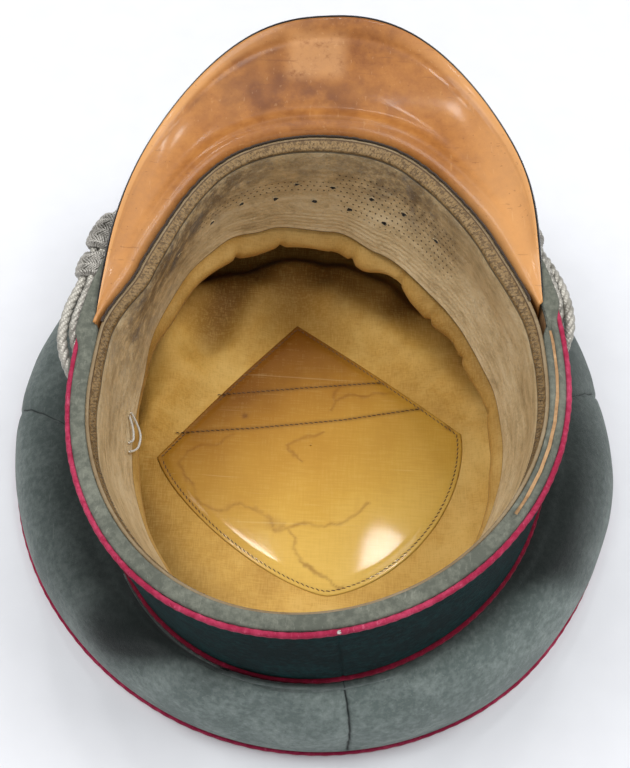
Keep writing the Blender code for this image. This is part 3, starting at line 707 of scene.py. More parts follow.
def button_look():
    """Plain silvered metal, finely grained and dulled in its hollows."""
    look = Look("silvered_metal", Metallic=0.95)
    dull = look.noise(200.0, 4.0, 0.6)
    color = look.ramp(dull, (0.3, tint(120, 118, 112)), (0.6, tint(196, 195, 190)))
    rough = look.plus(look.times(dull, 0.3), 0.2)
    grain = look.bump(look.cells(1500.0), 0.15 * MM, 0.7)
    return look.wear(Base_Color=color, Roughness=rough, Normal=grain)


def floor_look():
    look = Look("pale_table", Roughness=0.75)
    grain = look.noise(60.0)
    color = look.ramp(grain, (0.3, tint(227, 228, 232)), (0.7, tint(230, 231, 235)))
    return look.wear(Base_Color=color, Normal=look.bump(grain, 0.05 * MM, 0.2))


def lengths(points, closed):
    """How far along a line each of its points is, and the whole length too where it is closed."""
    made = [0.0]
    for place in range(len(points) if closed else len(points) - 1):
        made.append(made[-1] + (points[(place + 1) % len(points)] - points[place]).length)
    return made


# The paint of a place that nothing marks
UNPAINTED = (0.0, 0.0, 0.0)


def piece(name, mesh, looks, replaced=()):
    made = bpy.data.objects.new(name, mesh)
    bpy.context.scene.collection.objects.link(made)
    for look in looks:
        mesh.materials.append(look)
    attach(made, "root")
    if replaced:
        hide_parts(*replaced)
    return made


def add_paint(mesh, paints):
    colors = [value for paint in paints for value in (*paint, 1.0)]
    mesh.color_attributes.new("paint", "FLOAT_COLOR", "POINT").data.foreach_set("color", colors)


def new_mesh(name, verts, faces, flat, paints):
    """A smooth mesh, with its lengths in metres as UV and its paint as a colour attribute."""
    mesh = bpy.data.meshes.new(name)
    mesh.from_pydata([vert + SHIFT for vert in verts], [], faces)
    mesh.uv_layers.new(name="lengths").data.foreach_set("uv", flat)
    mesh.shade_smooth()
    add_paint(mesh, paints)
    return mesh


def close_up(mesh, fill=False):
    """Turns a mesh's faces outwards, and fills its open ends."""
    builder = bmesh.new()
    builder.from_mesh(mesh)
    if fill:
        bmesh.ops.holes_fill(builder, edges=[edge for edge in builder.edges if edge.is_boundary])
    bmesh.ops.recalc_face_normals(builder, faces=builder.faces)
    builder.to_mesh(mesh)
    builder.free()


def skin(name, grid, looks, replaced=(), around=True, across=True, paint=None, pick=None):
    """A smooth mesh through a grid of points. around closes its first way and across its second."""
    width = len(grid[0])
    along = lengths([row[width // 3] for row in grid], around)
    over = lengths(grid[0], across)
    faces = []
    flat = []
    picked = []
    for i in range(len(grid) if around else len(grid) - 1):
        after = (i + 1) % len(grid)
        for j in range(width if across else width - 1):
            beside = (j + 1) % width
            faces.append((i * width + j, i * width + beside, after * width + beside, after * width + j))
            flat += [along[i], over[j], along[i], over[j + 1]]
            flat += [along[i + 1], over[j + 1], along[i + 1], over[j]]
            if pick:
                picked.append(pick(i, j))
    paints = [paint(i, j) if paint else UNPAINTED for i in range(len(grid)) for j in range(width)]
    mesh = new_mesh(name, [point for row in grid for point in row], faces, flat, paints)
    if pick:
        mesh.polygons.foreach_set("material_index", picked)
    close_up(mesh)
    return piece(name, mesh, looks, replaced)


def tube_rings(path, radius, sides, closed):
    """Rings round a path, whose first axis is carried along without a twist."""
    count = len(path)
    rings = []
    first = None
    for place, point in enumerate(path):
        before = path[place - 1] if closed or place > 0 else point
        after = path[(place + 1) % count] if closed or place < count - 1 else point
        run = (after - before).normalized()
        if first is None:
            first = run.orthogonal()
        first = (first - run * first.dot(run)).normalized()
        second = run.cross(first)
        wide = radius(place / count) if callable(radius) else radius
        rings.append([point + (first * math.cos(t) + second * math.sin(t)) * wide for t in turns_of(sides)])
    return rings


def threads(name, paths, radius, sides, looks, replaced=(), closed=False):
    """Many round strands in one mesh. Across a strand the UV goes round in steps of a millimetre."""
    verts = []
    faces = []
    flat = []
    for path in paths:
        rings = tube_rings(path, radius, sides, closed)
        along = lengths(path, closed)
        start = len(verts)
        count = len(rings)
        verts += [point for ring in rings for point in ring]
        for i in range(count if closed else count - 1):
            after = (i + 1) % count
            for j in range(sides):
                beside = (j + 1) % sides
                corners = ((i, j), (i, beside), (after, beside), (after, j))
                faces.append([start + a * sides + b for a, b in corners])
                flat += [along[i], j * MM, along[i], (j + 1) * MM]
                flat += [along[i + 1], (j + 1) * MM, along[i + 1], j * MM]
        if not closed:
            for ring in (range(sides), range(count * sides - 1, (count - 1) * sides - 1, -1)):
                faces.append([start + corner for corner in ring])
                flat += [0.0, 0.0] * sides
    mesh = new_mesh(name, verts, faces, flat, [UNPAINTED] * len(verts))
    return piece(name, mesh, looks, replaced)


def wobble(point, scale, seed=0.0):
    """A smooth random value from about -1 to 1, whose bumps are about scale wide."""
    return noise.noise(point / scale + Vector((seed, 1.7 * seed, -seed)))


GREY_WOOL = wool("field_grey_wool", tint(104, 116, 112), tint(150, 161, 156), tint(176, 184, 178), 0.6, 0.15)
STRIP_WOOL = wool("strip_wool", tint(92, 95, 86), tint(132, 134, 121), tint(160, 161, 147))
GREEN_WOOL = wool("dark_green_wool", tint(3, 24, 25), tint(9, 54, 55), tint(22, 68, 68), 0.5, 0.0)
RIM_CARMINE = wool("carmine_wool", tint(150, 34, 64), tint(198, 74, 106), tint(222, 130, 152), 0.5)
BAND_CARMINE = wool("dark_carmine_wool", tint(100, 8, 32), tint(152, 26, 60), tint(180, 70, 100), 0.3)
CROWN_CARMINE = wool("pink_carmine_wool", tint(140, 28, 60), tint(192, 70, 102), tint(212, 120, 142), 0.4)
LEATHER_LOOK = leather_look()
SIDE_LINING = lining_look("side_lining", tint(136, 98, 38), tint(182, 142, 74), tint(210, 174, 108))
TOP_LINING = lining_look("top_lining", tint(158, 112, 38), tint(202, 158, 76), tint(226, 190, 112))
SHIELD_LOOK = shield_look()
PEAK_LOOK = peak_look()
LACQUER = lacquer_look()
WIRE = wire_look("silver_wire", tint(104, 100, 90), tint(184, 180, 170), 0.8 * MM, 0.35)
WOVEN_WIRE = wire_look("woven_wire", tint(100, 96, 88), tint(178, 174, 166), 0.9 * MM, 0.35)
CORE_WIRE = wire_look("dull_wire", tint(62, 58, 52), tint(98, 94, 86), 1.1 * MM, 0.3)
BOARD = board_look()
BUTTON = button_look()
PALE_THREAD = thread_look("pale_thread", tint(104, 82, 50), tint(176, 150, 108))
DARK_THREAD = thread_look("dark_thread", tint(34, 24, 16), tint(78, 56, 36))
SHEET_THREAD = thread_look("sheet_thread", tint(64, 42, 18), tint(120, 84, 42))
# The dark middles of the torn holes: painted shade where the holes go in
HOLE_SHADE = thread_look("hole_shade", tint(12, 9, 7), tint(26, 20, 15))
WHITE_THREAD = thread_look("white_thread", tint(196, 194, 186), tint(240, 239, 234))


def make_piping(name, curve, look, radius, **places):
    """Round wool piping, a little uneven where it was sewn."""
    stray = 0.15 * MM
    path = []
    for direction in ring_of(720):
        point = curve(direction, **places)
        aside = Vector((wobble(point, 12.0 * MM), wobble(point, 12.0 * MM, 4.0), 0.0))
        path.append(point + aside * stray)
    rings = tube_rings(path, lambda share: radius * (1.0 + 0.07 * math.sin(share * 900.0)), 10, True)
    skin(name + "_fine", rings, [look], [name])


make_piping("crown_piping", crown_point, CROWN_CARMINE, 0.9 * PIPING_RADIUS, height=PIPING_LIFT)
make_piping("band_upper_piping", rim_point, BAND_CARMINE, PIPING_RADIUS, depth=BAND_HEIGHT)
make_piping("rim_piping", rim_point, RIM_CARMINE, 0.9 * PIPING_RADIUS, inset=0.2 * MM, depth=0.4 * MM)


def make_band():
    """The green band, with a little give in its cloth and one upright seam at the back."""
    top = PIPING_RADIUS + 0.3 * CLEARANCE
    bottom = BAND_HEIGHT - PIPING_RADIUS - 0.3 * CLEARANCE
    rows = 22
    inner_rows = 4
    grid = []
    by_seam = [SEAM_BACK + side for side in (-0.6, -0.35, -0.15, 0.15, 0.35, 0.6)]
    for direction in sorted(ring_of(400) + by_seam):
        seam = hump(angle_from(direction, SEAM_BACK), 0.0, 0.3)
        outer = []
        for row in range(rows + 1):
            depth = top + (bottom - top) * row / rows
            point = rim_point(direction, BAND_INSET, depth)
            give = 0.25 * MM * wobble(point, 30.0 * MM) - 0.5 * MM * seam
            outer.append(rim_point(direction, BAND_INSET - give, depth))
        depths = [bottom + (top - bottom) * row / inner_rows for row in range(inner_rows + 1)]
        grid.append(outer + [rim_point(direction, BAND_INSET + CLOTH, depth) for depth in depths])
    skin("band_cloth", grid, [GREEN_WOOL], ["band"])


make_band()


def panel_profile(direction, steps):
    """The outer face of the crown's side, from below the band's piping to above the crown's."""
    below_piping = BAND_HEIGHT + PIPING_RADIUS + CLEARANCE
    sewn = rim_point(direction, BAND_INSET, below_piping)
    start = rim_point(direction, -PIPING_RADIUS - 2.0 * CLEARANCE, below_piping)
    end = crown_point(direction, height=PANEL_FOOT)
    run = Vector((end.x - start.x, end.y - start.y, 0.0))
    reach, rise, shoulder = (from_table(CROWN_SWELLS, direction, column) for column in (1, 2, 3))
    leave = run * reach + UPRIGHT * (rise * CROWN_BULGE)
    arrive = UPRIGHT * (shoulder * CROWN_BULGE) + run.normalized() * (0.1 * CROWN_BULGE)
    return [sewn] + bezier(start, start + leave, end + arrive, end, steps)


# Dimples in the crown's side: direction, share of the way down, depth and half width in mm
CROWN_DIMPLES = (
    (188.5, 0.55, 3.2, 12.0),
    (178.0, 0.2, 1.8, 7.0),
    (167.3, 0.3, 2.8, 9.0),
    (212.5, 0.45, 3.0, 10.0),
    (221.0, 0.3, 2.4, 8.0),
    (140.0, 0.45, 1.0, 18.0),
    (240.0, 0.4, 1.2, 16.0),
    (115.0, 0.5, 1.0, 14.0),
)
CROWN_SEAMS = (SEAM_LEFT, SEAM_RIGHT, SEAM_BACK)
CROWN_SIDE_LENGTH = 42.0 * MM
# Painted shade on the crown's wool along the band: direction, shares of the way down where it fades, strength
CROWN_SHADES = (
    (85.0, 0.15, 1.1, 0.9),
    (106.0, 0.25, 0.95, 0.96),
    (121.0, 0.35, 0.95, 0.98),
    (132.0, 0.0, 0.6, 0.88),
    (150.0, 0.0, 0.4, 0.8),
    (170.0, 0.0, 0.3, 0.7),
    (188.0, 0.0, 0.35, 0.7),
    (203.0, 0.0, 0.8, 0.88),
    (218.0, 0.6, 1.0, 0.99),
    (231.0, 0.2, 1.15, 0.95),
    (250.0, 0.2, 1.1, 0.92),
    (275.0, 0.15, 1.1, 0.88),
)


def round_crown(direction, middle):
    """The length round the crown's edge from a middle."""
    return math.radians(angle_from(direction, middle)) * CROWN_HALF_WIDTH


def crown_relief(point, direction, share):
    """How far the crown's cloth stands out from its smooth form."""
    out = 0.8 * MM * wobble(point, 50.0 * MM) + 0.35 * MM * wobble(point, 18.0 * MM, 3.0)
    out += 2.4 * MM * hump(share, 0.62, 0.24) - 1.8 * MM * hump(share, 0.14, 0.12)
    for middle, place, depth, half_width in CROWN_DIMPLES:
        along = round_crown(direction, middle)
        over = (share - place) * CROWN_SIDE_LENGTH
        reach = half_width * MM
        out -= depth * MM * math.exp(-(along * along + over * over) / (reach * reach))
    for seam in CROWN_SEAMS:
        away = round_crown(direction, seam)
        pucker = 1.0 + 0.25 * math.sin(share * 50.0)
        out -= (0.9 * MM * hump(away, 0.0, 1.0 * MM) + 0.8 * MM * hump(away, 0.0, 6.0 * MM)) * pucker
    return out * min(share * 8.0, 1.0) * min((1.0 - share) * 6.0, 1.0)


def make_crown_side():
    """The crown's side: three panels of wool, drawn in at their seams and dented in places."""
    steps = 30
    near_seams = [seam + side for seam in CROWN_SEAMS for side in (-0.55, -0.3, -0.12, 0.0, 0.12, 0.3, 0.55)]
    directions = sorted(d % 360.0 for d in ring_of(480) + near_seams)
    grid = []
    for direction in directions:
        outer = panel_profile(direction, steps)
        over_piping = between(direction, 174.0, 181.0, 196.0, 203.0)
        run = outer[-1] - outer[0]
        along = Vector((-run.y, run.x, 0.0)).normalized()
        if along.dot(along_ring(crown_point, direction)) < 0.0:
            along = -along
        moves = [-crown_relief(point, direction, step / steps) for step, point in enumerate(outer[1:])]
        moves.insert(0, 0.0)
        moved = offset_profile(outer, along, moves)
        for step in range(1, 10):
            moved[step] += UPRIGHT * (hump(step, 2.5, 2.5) * 2.6 * MM * over_piping)
        behind = [CLOTH + max(move, 0.0) for move in moves] + [CLOTH]
        inner = offset_profile(outer, along, behind[: len(outer)])[::-4]
        grid.append(moved + inner)

    # Dark seam lines, and painted shade on the crown along the band
    def paint(i, j):
        shade = 0.0
        if j <= steps:
            for seam in CROWN_SEAMS:
                shade = max(shade, hump(round_crown(directions[i], seam), 0.0, 0.5 * MM))
            fades, gone, band_shade = (from_table(CROWN_SHADES, directions[i], column) for column in (1, 2, 3))
            shade = max(shade, band_shade * (1.0 - smooth_step(j / steps, fades, gone)))
        return (shade, 0.0, 0.0)

    panels = ["crown_front", "crown_back_right", "crown_back_left"]
    skin("crown_cloth", grid, [GREY_WOOL], panels, paint=paint)


make_crown_side()


WIDEST_CORNER = max(PEAK_CORNER_LEFT, PEAK_CORNER_RIGHT)


def sweatband_inset(direction):
    """How deep in the wall the leather starts: the peak's flange is thicker than the strip's lip."""
    beside_flange = 1.0 - smooth_step(from_front(direction), WIDEST_CORNER + 3.0, WIDEST_CORNER + 25.0)
    return SWEATBAND_INSET + (FRONT_SWEATBAND_INSET - SWEATBAND_INSET) * beside_flange


# How far the leather rolls in, and by which share of its width
LEATHER_ROLL = 4.2 * MM
LEATHER_ROLL_TO = 0.1
SEAM_STRAY_LEFT = 6.0 * MM
SEAM_STRAY_RIGHT = 3.8 * MM


def seam_stray(direction):
    """How far the leather's seam lies inside the rim's curve, at both sides of the front."""
    turn = angle_from(direction, 0.0)
    left = SEAM_STRAY_LEFT * between(turn, -82.0, -66.0, -58.0, -22.0)
    return left + SEAM_STRAY_RIGHT * between(turn, 14.0, 46.0, 58.0, 84.0)


def sweatband_place(direction, share):
    """Inset and depth of the leather's outer face at a share of its width from its sewn edge."""
    lean = from_table(SWEATBAND_LEANS, direction, 1) * SWEATBAND_LEAN
    width = from_table(SWEATBAND_LEANS, direction, 2) * SWEATBAND_WIDTH
    bend = smooth_step(share, 0.0, 1.6) / smooth_step(1.0, 0.0, 1.6)
    turned = from_front(direction)
    rolled = between(share, 0.0, LEATHER_ROLL_TO, LEATHER_ROLL_TO, 0.6)
    rolled *= 1.0 - 0.55 * smooth_step(turned, 60.0, 85.0) - 0.45 * smooth_step(turned, 95.0, 130.0)
    inset = sweatband_inset(direction) + lean * bend + LEATHER_ROLL * rolled
    inset += seam_stray(direction) * (1.0 - smooth_step(share, 0.1, 1.0))
    sunk = 2.5 * MM * smooth_step(turned, 120.0, 150.0)
    return inset, share * width - STRIP_CROWNING - 0.8 * LEATHER_ROLL * rolled + sunk


def leather_point(direction, share, proud=0.0):
    inset, depth = sweatband_place(direction, share)
    return rim_point(direction, inset + LEATHER + proud, depth)


# Torn holes in the leather: direction and share of the width
TORN_HOLES = (
    (-50.4, 0.50),
    (-36.4, 0.60),
    (-26.1, 0.58),
    (-15.7, 0.63),
    (-8.8, 0.47),
    (-4.2, 0.66),
    (1.3, 0.50),
    (6.2, 0.70),
    (13.2, 0.52),
    (18.2, 0.69),
    (24.3, 0.52),
    (37.6, 0.52),
)
# Ribs pressed along the deep edge, as shares of the width
LEATHER_RIBS = (0.80, 0.84, 0.88, 0.92, 0.96)
# Grime on the leather: direction and its half width, share of the width and its half width
LEATHER_GRIME = (
    (-35.0, 26.0, 0.24, 0.22),
    (24.0, 24.0, 0.28, 0.24),
    (-62.0, 24.0, 0.4, 0.5),
)


def leather_relief(direction, share):
    """How far the leather's face stands out: waves, pressed ribs and the groove below its margin."""
    point = leather_point(direction, share)
    out = 0.7 * MM * wobble(point, 35.0 * MM) + 0.3 * MM * wobble(point, 12.0 * MM, 5.0)
    pressed = (0.07 + 0.12 * hump(angle_from(direction, 0.0), 10.0, 40.0)) * MM
    for rib in LEATHER_RIBS:
        out -= pressed * hump(share, rib, 0.009)
    out -= 0.5 * MM * hump(share, 0.125, 0.012)
    return out * smooth_step(share, 0.0, 0.05)


# Above one, the paint of the leather's dots marks a cut edge
CUT_EDGE = 2.0


def leather_paint(direction, share):
    """Grime, pricked dots and cut edges, and rubbed places."""
    turn = angle_from(direction, 0.0)
    grime = 0.9 * sum(hump(turn, a, wide) * hump(share, b, deep) for a, wide, b, deep in LEATHER_GRIME)
    right = between(turn, 1.0, 4.0, 42.0, 50.0) * between(share, 0.3, 0.36, 0.72, 0.78)
    left = between(turn, -44.0, -40.0, 0.0, 4.0) * between(share, 0.42, 0.45, 0.54, 0.58)
    dots = max(right, left) + CUT_EDGE * smooth_step(share, 0.985, 0.995)
    rubbed_and_lit = 0.7 * hump(turn, 0.5, 9.0) * hump(share, 0.285, 0.02)
    return (min(grime, 1.0), dots, rubbed_and_lit)


def make_sweatband():
    """The leather, with closer rows along its ribs."""
    directions = ring_of(600)
    shares = [place / 44 for place in range(34)] + [34 / 44 + place / 130 for place in range(30)] + [1.0]
    grid = []
    for direction in directions:
        face = [leather_point(direction, share, leather_relief(direction, share)) for share in shares]
        back = [rim_point(direction, *sweatband_place(direction, share)) for share in (1.0, 0.66, 0.33, 0.0)]
        grid.append(face + back)
    count = len(shares)

    def paint(i, j):
        return leather_paint(directions[i], shares[j]) if 0 < j < count else (0.0, CUT_EDGE, 0.0)

    skin("sweatband_leather", grid, [LEATHER_LOOK], ["sweatband"], paint=paint)


make_sweatband()


# The waves of the cloth's lips beside the board: scale and seed
STRIP_LIP_WAVES = ((6.0 * MM, 0.0), (7.0 * MM, 3.0))


def make_strip():
    """The grey strip folded over the rim, open on the right where the board's edge shows."""
    grid = []
    for direction in ring_of(360):
        past_corner = from_front(direction) - WIDEST_CORNER
        beyond_board = smooth_step(past_corner, -2.0, 1.0)
        lipped = smooth_step(past_corner, -2.0, 3.0)
        first, last = STIFFENER_SHOWS_FROM, STIFFENER_SHOWS_TO
        shown = between(direction, first, first + 6.0, last - 6.0, last)
        fold = STRIP_FOLD
        under = fold - STRIP_CROWNING
        outer = OUTER_LIP_INSET
        inner = INNER_LIP_INSET - (CLEARANCE + 0.3 * fold) * (1.0 - beyond_board)
        inner_end = inner + fold * (0.3 + 0.7 * lipped)
        inner_end += (sweatband_inset(direction) - 0.5 * CLEARANCE - inner_end) * lipped
        lip = under + 0.1 * fold + (STRIP_LIP - under) * lipped
        point = rim_point(direction)
        top = -STRIP_CROWNING - 0.35 * MM * (0.5 + wobble(point, 20.0 * MM)) * lipped
        groove = top + 3.2 * MM * shown
        slot_start = STIFFENER_INSET - 0.8 * CLEARANCE
        slot_end = STIFFENER_INSET + STIFFENER_BOARD + 0.8 * CLEARANCE
        middle = 0.5 * (slot_start + slot_end)
        lips = [(0.3 + 0.1 * wobble(point, scale, seed)) * MM * shown for scale, seed in STRIP_LIP_WAVES]
        shut = 0.05 * MM + 0.3 * MM * (1.0 - shown)
        spread = 0.05 * MM * wobble(point, 15.0 * MM, 7.0)
        turn = angle_from(direction, 0.0)
        cover = between(-turn, 48.0, 58.0, 82.0, 86.0) + between(turn, 48.0, 58.0, 75.0, 80.0)
        lift = 1.0 * MM * cover
        start = PIPING_LIFT - 2.5 * MM * cover
        places = (
            (start, under - lift),
            (start - 0.1 * MM, 0.3 * top - lift),
            (start + 0.35 * fold, 0.85 * top - lift),
            (start + fold, top - lift),
            (slot_start - 0.4 * MM, top),
            (slot_start + 0.28 * MM * shown, top + lips[0]),
            (slot_start + shut, groove),
            (middle, groove),
            (slot_end - shut, groove),
            (slot_end - 0.28 * MM * shown, top + lips[1]),
            (slot_end + 0.4 * MM, top),
            (inner_end - 0.3 * MM, top),
            (inner_end + spread, 0.6 * top),
            (inner_end, lip),
            (inner, lip),
            (inner, under + 0.3 * MM),
            (outer + fold, under + 0.3 * MM),
            (outer + fold, STRIP_LIP),
            (outer, STRIP_LIP),
            (outer, under),
        )
        grid.append([rim_point(direction, inset, depth) for inset, depth in places])
    skin("rim_strip_cloth", grid, [STRIP_WOOL], ["rim_strip"])


make_strip()


def on_leather(direction, share):
    """A point just over the leather's own face."""
    return leather_point(direction, share, 0.16 * MM + leather_relief(direction, share))


def make_leather_stitches():
    """A zigzag of pale thread along the sewn margin."""
    path = []
    for place, direction in enumerate(ring_of(840)):
        stray = 0.014 * noise.noise(Vector((place * 0.37, 0.0, 0.0)))
        path.append(on_leather(direction, (0.026 if place % 2 else 0.078) + stray))
    threads("sweatband_stitching", [path], 0.15 * MM, 5, [PALE_THREAD], closed=True)


make_leather_stitches()


# A torn hole's rings: how wide and how proud of the leather, in mm
HOLE_RINGS = ((0.4, 0.06), (1.0, 0.1), (1.12, 0.22), (1.35, -0.05))


def make_torn_holes():
    """Ragged holes with dark middles of painted shade, and the torn leather standing up round them."""
    sides = turns_of(16)
    builder = bmesh.new()
    for number, (direction, share) in enumerate(TORN_HOLES):
        middle = on_leather(direction, share)
        run = along_ring(rim_point, direction)
        down = (leather_point(direction, share + 0.02) - leather_point(direction, share - 0.02)).normalized()
        inward = down.cross(run)
        if inward.dot(RIM_MIDDLE - middle) < 0.0:
            inward = -inward
        rings = []
        for reach, proud in HOLE_RINGS:
            ring = []
            for turn in sides:
                aside, ahead = math.cos(turn), math.sin(turn)
                ragged = 1.0 + 0.6 * noise.noise(Vector((3.0 * number + 1.4 * aside, 1.6 * ahead, 0.5)))
                wide = (1.15 * aside * run + 0.8 * ahead * down) * (reach * ragged * MM)
                ring.append(builder.verts.new(middle + SHIFT + wide + inward * (proud * ragged * MM)))
            rings.append(ring)
        builder.faces.new(rings[0])
        for near, far in zip(rings, rings[1:]):
            for side in range(len(sides)):
                after = (side + 1) % len(sides)
                face = builder.faces.new((near[side], near[after], far[after], far[side]))
                face.material_index = 1 if far is not rings[1] else 0
    mesh = bpy.data.meshes.new("torn_holes")
    builder.to_mesh(mesh)
    builder.free()
    mesh.shade_smooth()
    add_paint(mesh, [UNPAINTED] * len(mesh.vertices))
    mesh.uv_layers.new(name="lengths")
    piece("torn_holes", mesh, [HOLE_SHADE, LEATHER_LOOK])


make_torn_holes()


# Pleats in the side lining: direction and how far they draw in, in mm
LINING_PLEATS = ((7.5, 3.0), (27.0, 3.4), (44.5, 2.6), (62.0, 2.0), (80.0, 1.6), (-16.0, 2.4), (-31.0, 2.6))


def make_lining_side():
    """The side lining: hung behind the leather, puffed and pleated below it, then out to the edge."""
    hang = SWEATBAND_WIDTH - 6.0 * MM
    start_inset = STIFFENER_INSET + STIFFENER_BOARD + CLEARANCE
    directions = ring_of(480)
    grid = []
    upper_steps = 8
    lower_steps = 18
    for direction in directions:
        along = along_ring(crown_point, direction)
        start = rim_point(direction, start_inset, hang)
        puff = from_table(LINING_PUFFS, direction, 1) * LINING_PUFF
        leather_inset, leather_depth = sweatband_place(direction, 1.0)
        below = rim_point(direction, leather_inset + puff * 0.5, leather_depth + 1.5 * MM + 0.6 * LINING_PUFF)
        foot = crown_point(direction, LINING_EDGE - 1.5 * LINING_CLOTH - CLEARANCE)
        foot.z = CLOTH + CLEARANCE + LINING_CLOTH
        out = foot + UPRIGHT * (0.2 * (below.z - foot.z))
        upper = bezier(start, start - UP * (6.0 * MM), below + UP * (3.0 * MM), below, upper_steps)
        lower = bezier(below, below - UP * (9.0 * MM), out, foot, lower_steps)
        outer = upper + lower[1:]
        moves = []
        for place, point in enumerate(outer):
            share = place / (len(outer) - 1)
            free = between(share, 0.1, 0.3, 0.5, 0.8)
            crease = 2.4 * wobble(Vector((direction * 0.055, share * 1.6, 0.0)), 1.0)
            crease += 0.25 * wobble(Vector((direction * 0.14 + share * 2.0, share * 3.0, 5.0)), 1.0)
            pleat = 0.0
            for middle, depth in LINING_PLEATS:
                away = angle_from(direction, middle)
                lean = away + 5.0 * (share - 0.3)
                pleat += 0.6 * depth * (hump(lean, 0.0, 1.1) - 0.45 * hump(lean, 4.0, 5.0))
            pleat *= 1.0 - smooth_step(share, 0.45, 0.75)
            moves.append(LINING_CLOTH + (crease - pleat) * MM * free)
        inner = offset_profile(outer, along, moves)
        grid.append(inner[::-1] + outer[::4])

    # Painted shade: the cloth darkens low down below its puff, and a little along the left side
    def paint(i, j):
        share = 1.0 - j / (upper_steps + lower_steps)
        if share < 0.0:
            return UNPAINTED
        turn = angle_from(directions[i], 0.0)
        hung = between(-turn, 48.0, 58.0, 125.0, 150.0)
        return (max(0.95 * smooth_step(share, 0.42, 0.7), 0.1 * hung), 0.0, 0.0)

    skin("side_lining_cloth", grid, [SIDE_LINING], ["lining_side"], paint=paint)


make_lining_side()


# How far the sheet's straight edges are bowed
SHIELD_BOW = 1.2 * MM


def shield_outline(steps):
    """Two straight edges up to a point, and a rounded bowl below the widest line."""
    corners = []
    left = Vector((-SHIELD_HALF_WIDTH, 0.0, 0.0))
    right = Vector((SHIELD_HALF_WIDTH, 0.0, 0.0))
    apex = Vector((0.0, SHIELD_TOP, 0.0))
    for start, end in ((left, apex), (apex, right)):
        for place in range(steps):
            share = place / steps
            bow = Vector((0.0, SHIELD_BOW * math.sin(math.pi * share), 0.0))
            corners.append(start + (end - start) * share + bow)
    for place in range(2 * steps):
        angle = math.pi * place / (2 * steps)
        across = math.cos(angle)
        roundness = SHIELD_ROUND_RIGHT if across > 0.0 else SHIELD_ROUND_LEFT
        x = SHIELD_HALF_WIDTH * signed_power(across, 2.0 / roundness)
        y = -SHIELD_BOTTOM * math.sin(angle) ** (2.0 / roundness)
        corners.append(Vector((x, y, 0.0)))
    turned = []
    for corner in corners:
        x = corner.x * math.cos(SHIELD_TURN) - corner.y * math.sin(SHIELD_TURN)
        y = corner.x * math.sin(SHIELD_TURN) + corner.y * math.cos(SHIELD_TURN)
        turned.append(Vector((x, y + SHIELD_FORWARD, 0.0)))
    return turned


SHIELD_MIDDLE = Vector((0.0, SHIELD_FORWARD, 0.0))
SHIELD_RING = shield_outline(40)


def shield_reach(point):
    """How far out a point is, as a share of the way from the sheet's middle to its edge."""
    away = point - SHIELD_MIDDLE
    turn = math.atan2(away.y, away.x)
    best = min(
        SHIELD_RING,
        key=lambda corner: abs(
            (math.atan2(corner.y - SHIELD_MIDDLE.y, corner.x - SHIELD_MIDDLE.x) - turn + math.pi)
            % (2.0 * math.pi)
            - math.pi
        ),
    )
    return away.xy.length / (best - SHIELD_MIDDLE).xy.length


def near_line(x, y, line):
    """The distance in mm from a place to a line of straight pieces."""
    best = 1000.0
    for (x0, y0), (x1, y1) in zip(line, line[1:]):
        along = ((x - x0) * (x1 - x0) + (y - y0) * (y1 - y0)) / ((x1 - x0) ** 2 + (y1 - y0) ** 2)
        along = min(max(along, 0.0), 1.0)
        best = min(best, math.hypot(x - x0 - along * (x1 - x0), y - y0 - along * (y1 - y0)))
    return best


# Soft folds in the floor's lining: a line through places in mm, half width, height and painted shade, whose
# negative values take shade away on the ridges
LINING_RIDGES = (
    (((-56, 86), (-61, 63), (-63, 38), (-68, 18)), 10.0, 5.0, -0.5),
    (((-25, 92), (-30, 76), (-40, 57), (-53, 40)), 9.0, 4.0, -0.4),
    (((6, 90), (29, 76), (46, 59), (60, 40)), 11.0, 4.0, -0.3),
    (((-31, 104), (-38, 88), (-45, 74)), 16.0, -2.0, 0.65),
    (((4, 104), (22, 95), (35, 88)), 12.0, -3.0, 0.5),
    (((38, 88), (55, 70), (68, 48)), 12.0, -4.0, 0.35),
    (((-72, 6), (-66, -22), (-58, -45), (-42, -66)), 17.0, -2.0, 0.6),
)


def ridges(point):
    """The height of the floor lining's own folds, and the painted shade of a place in them."""
    height = 0.0
    shade = 0.0
    for line, half_width, rise, dark in LINING_RIDGES:
        near = hump(near_line(point.x / MM, point.y / MM, line), 0.0, half_width)
        height += rise * near * MM
        shade += dark * near
    return height, shade


# The crest of the loose lining round the sheet: direction, share of the way out and height in mm
LINING_CREST = (
    (2.0, 0.647, 10.0),
    (17.0, 0.64, 9.0),
    (34.0, 0.62, 10.0),
    (48.0, 0.645, 9.0),
    (63.0, 0.66, 10.0),
    (79.0, 0.67, 8.5),
    (95.0, 0.685, 8.0),
    (115.0, 0.72, 5.0),
    (140.0, 0.78, 2.5),
    (170.0, 0.85, 1.0),
    (230.0, 0.67, 2.0),
    (265.0, 0.61, 4.0),
    (290.0, 0.68, 6.0),
    (305.0, 0.765, 9.0),
    (322.0, 0.71, 10.0),
    (336.0, 0.685, 8.5),
    (349.0, 0.67, 10.0),
)


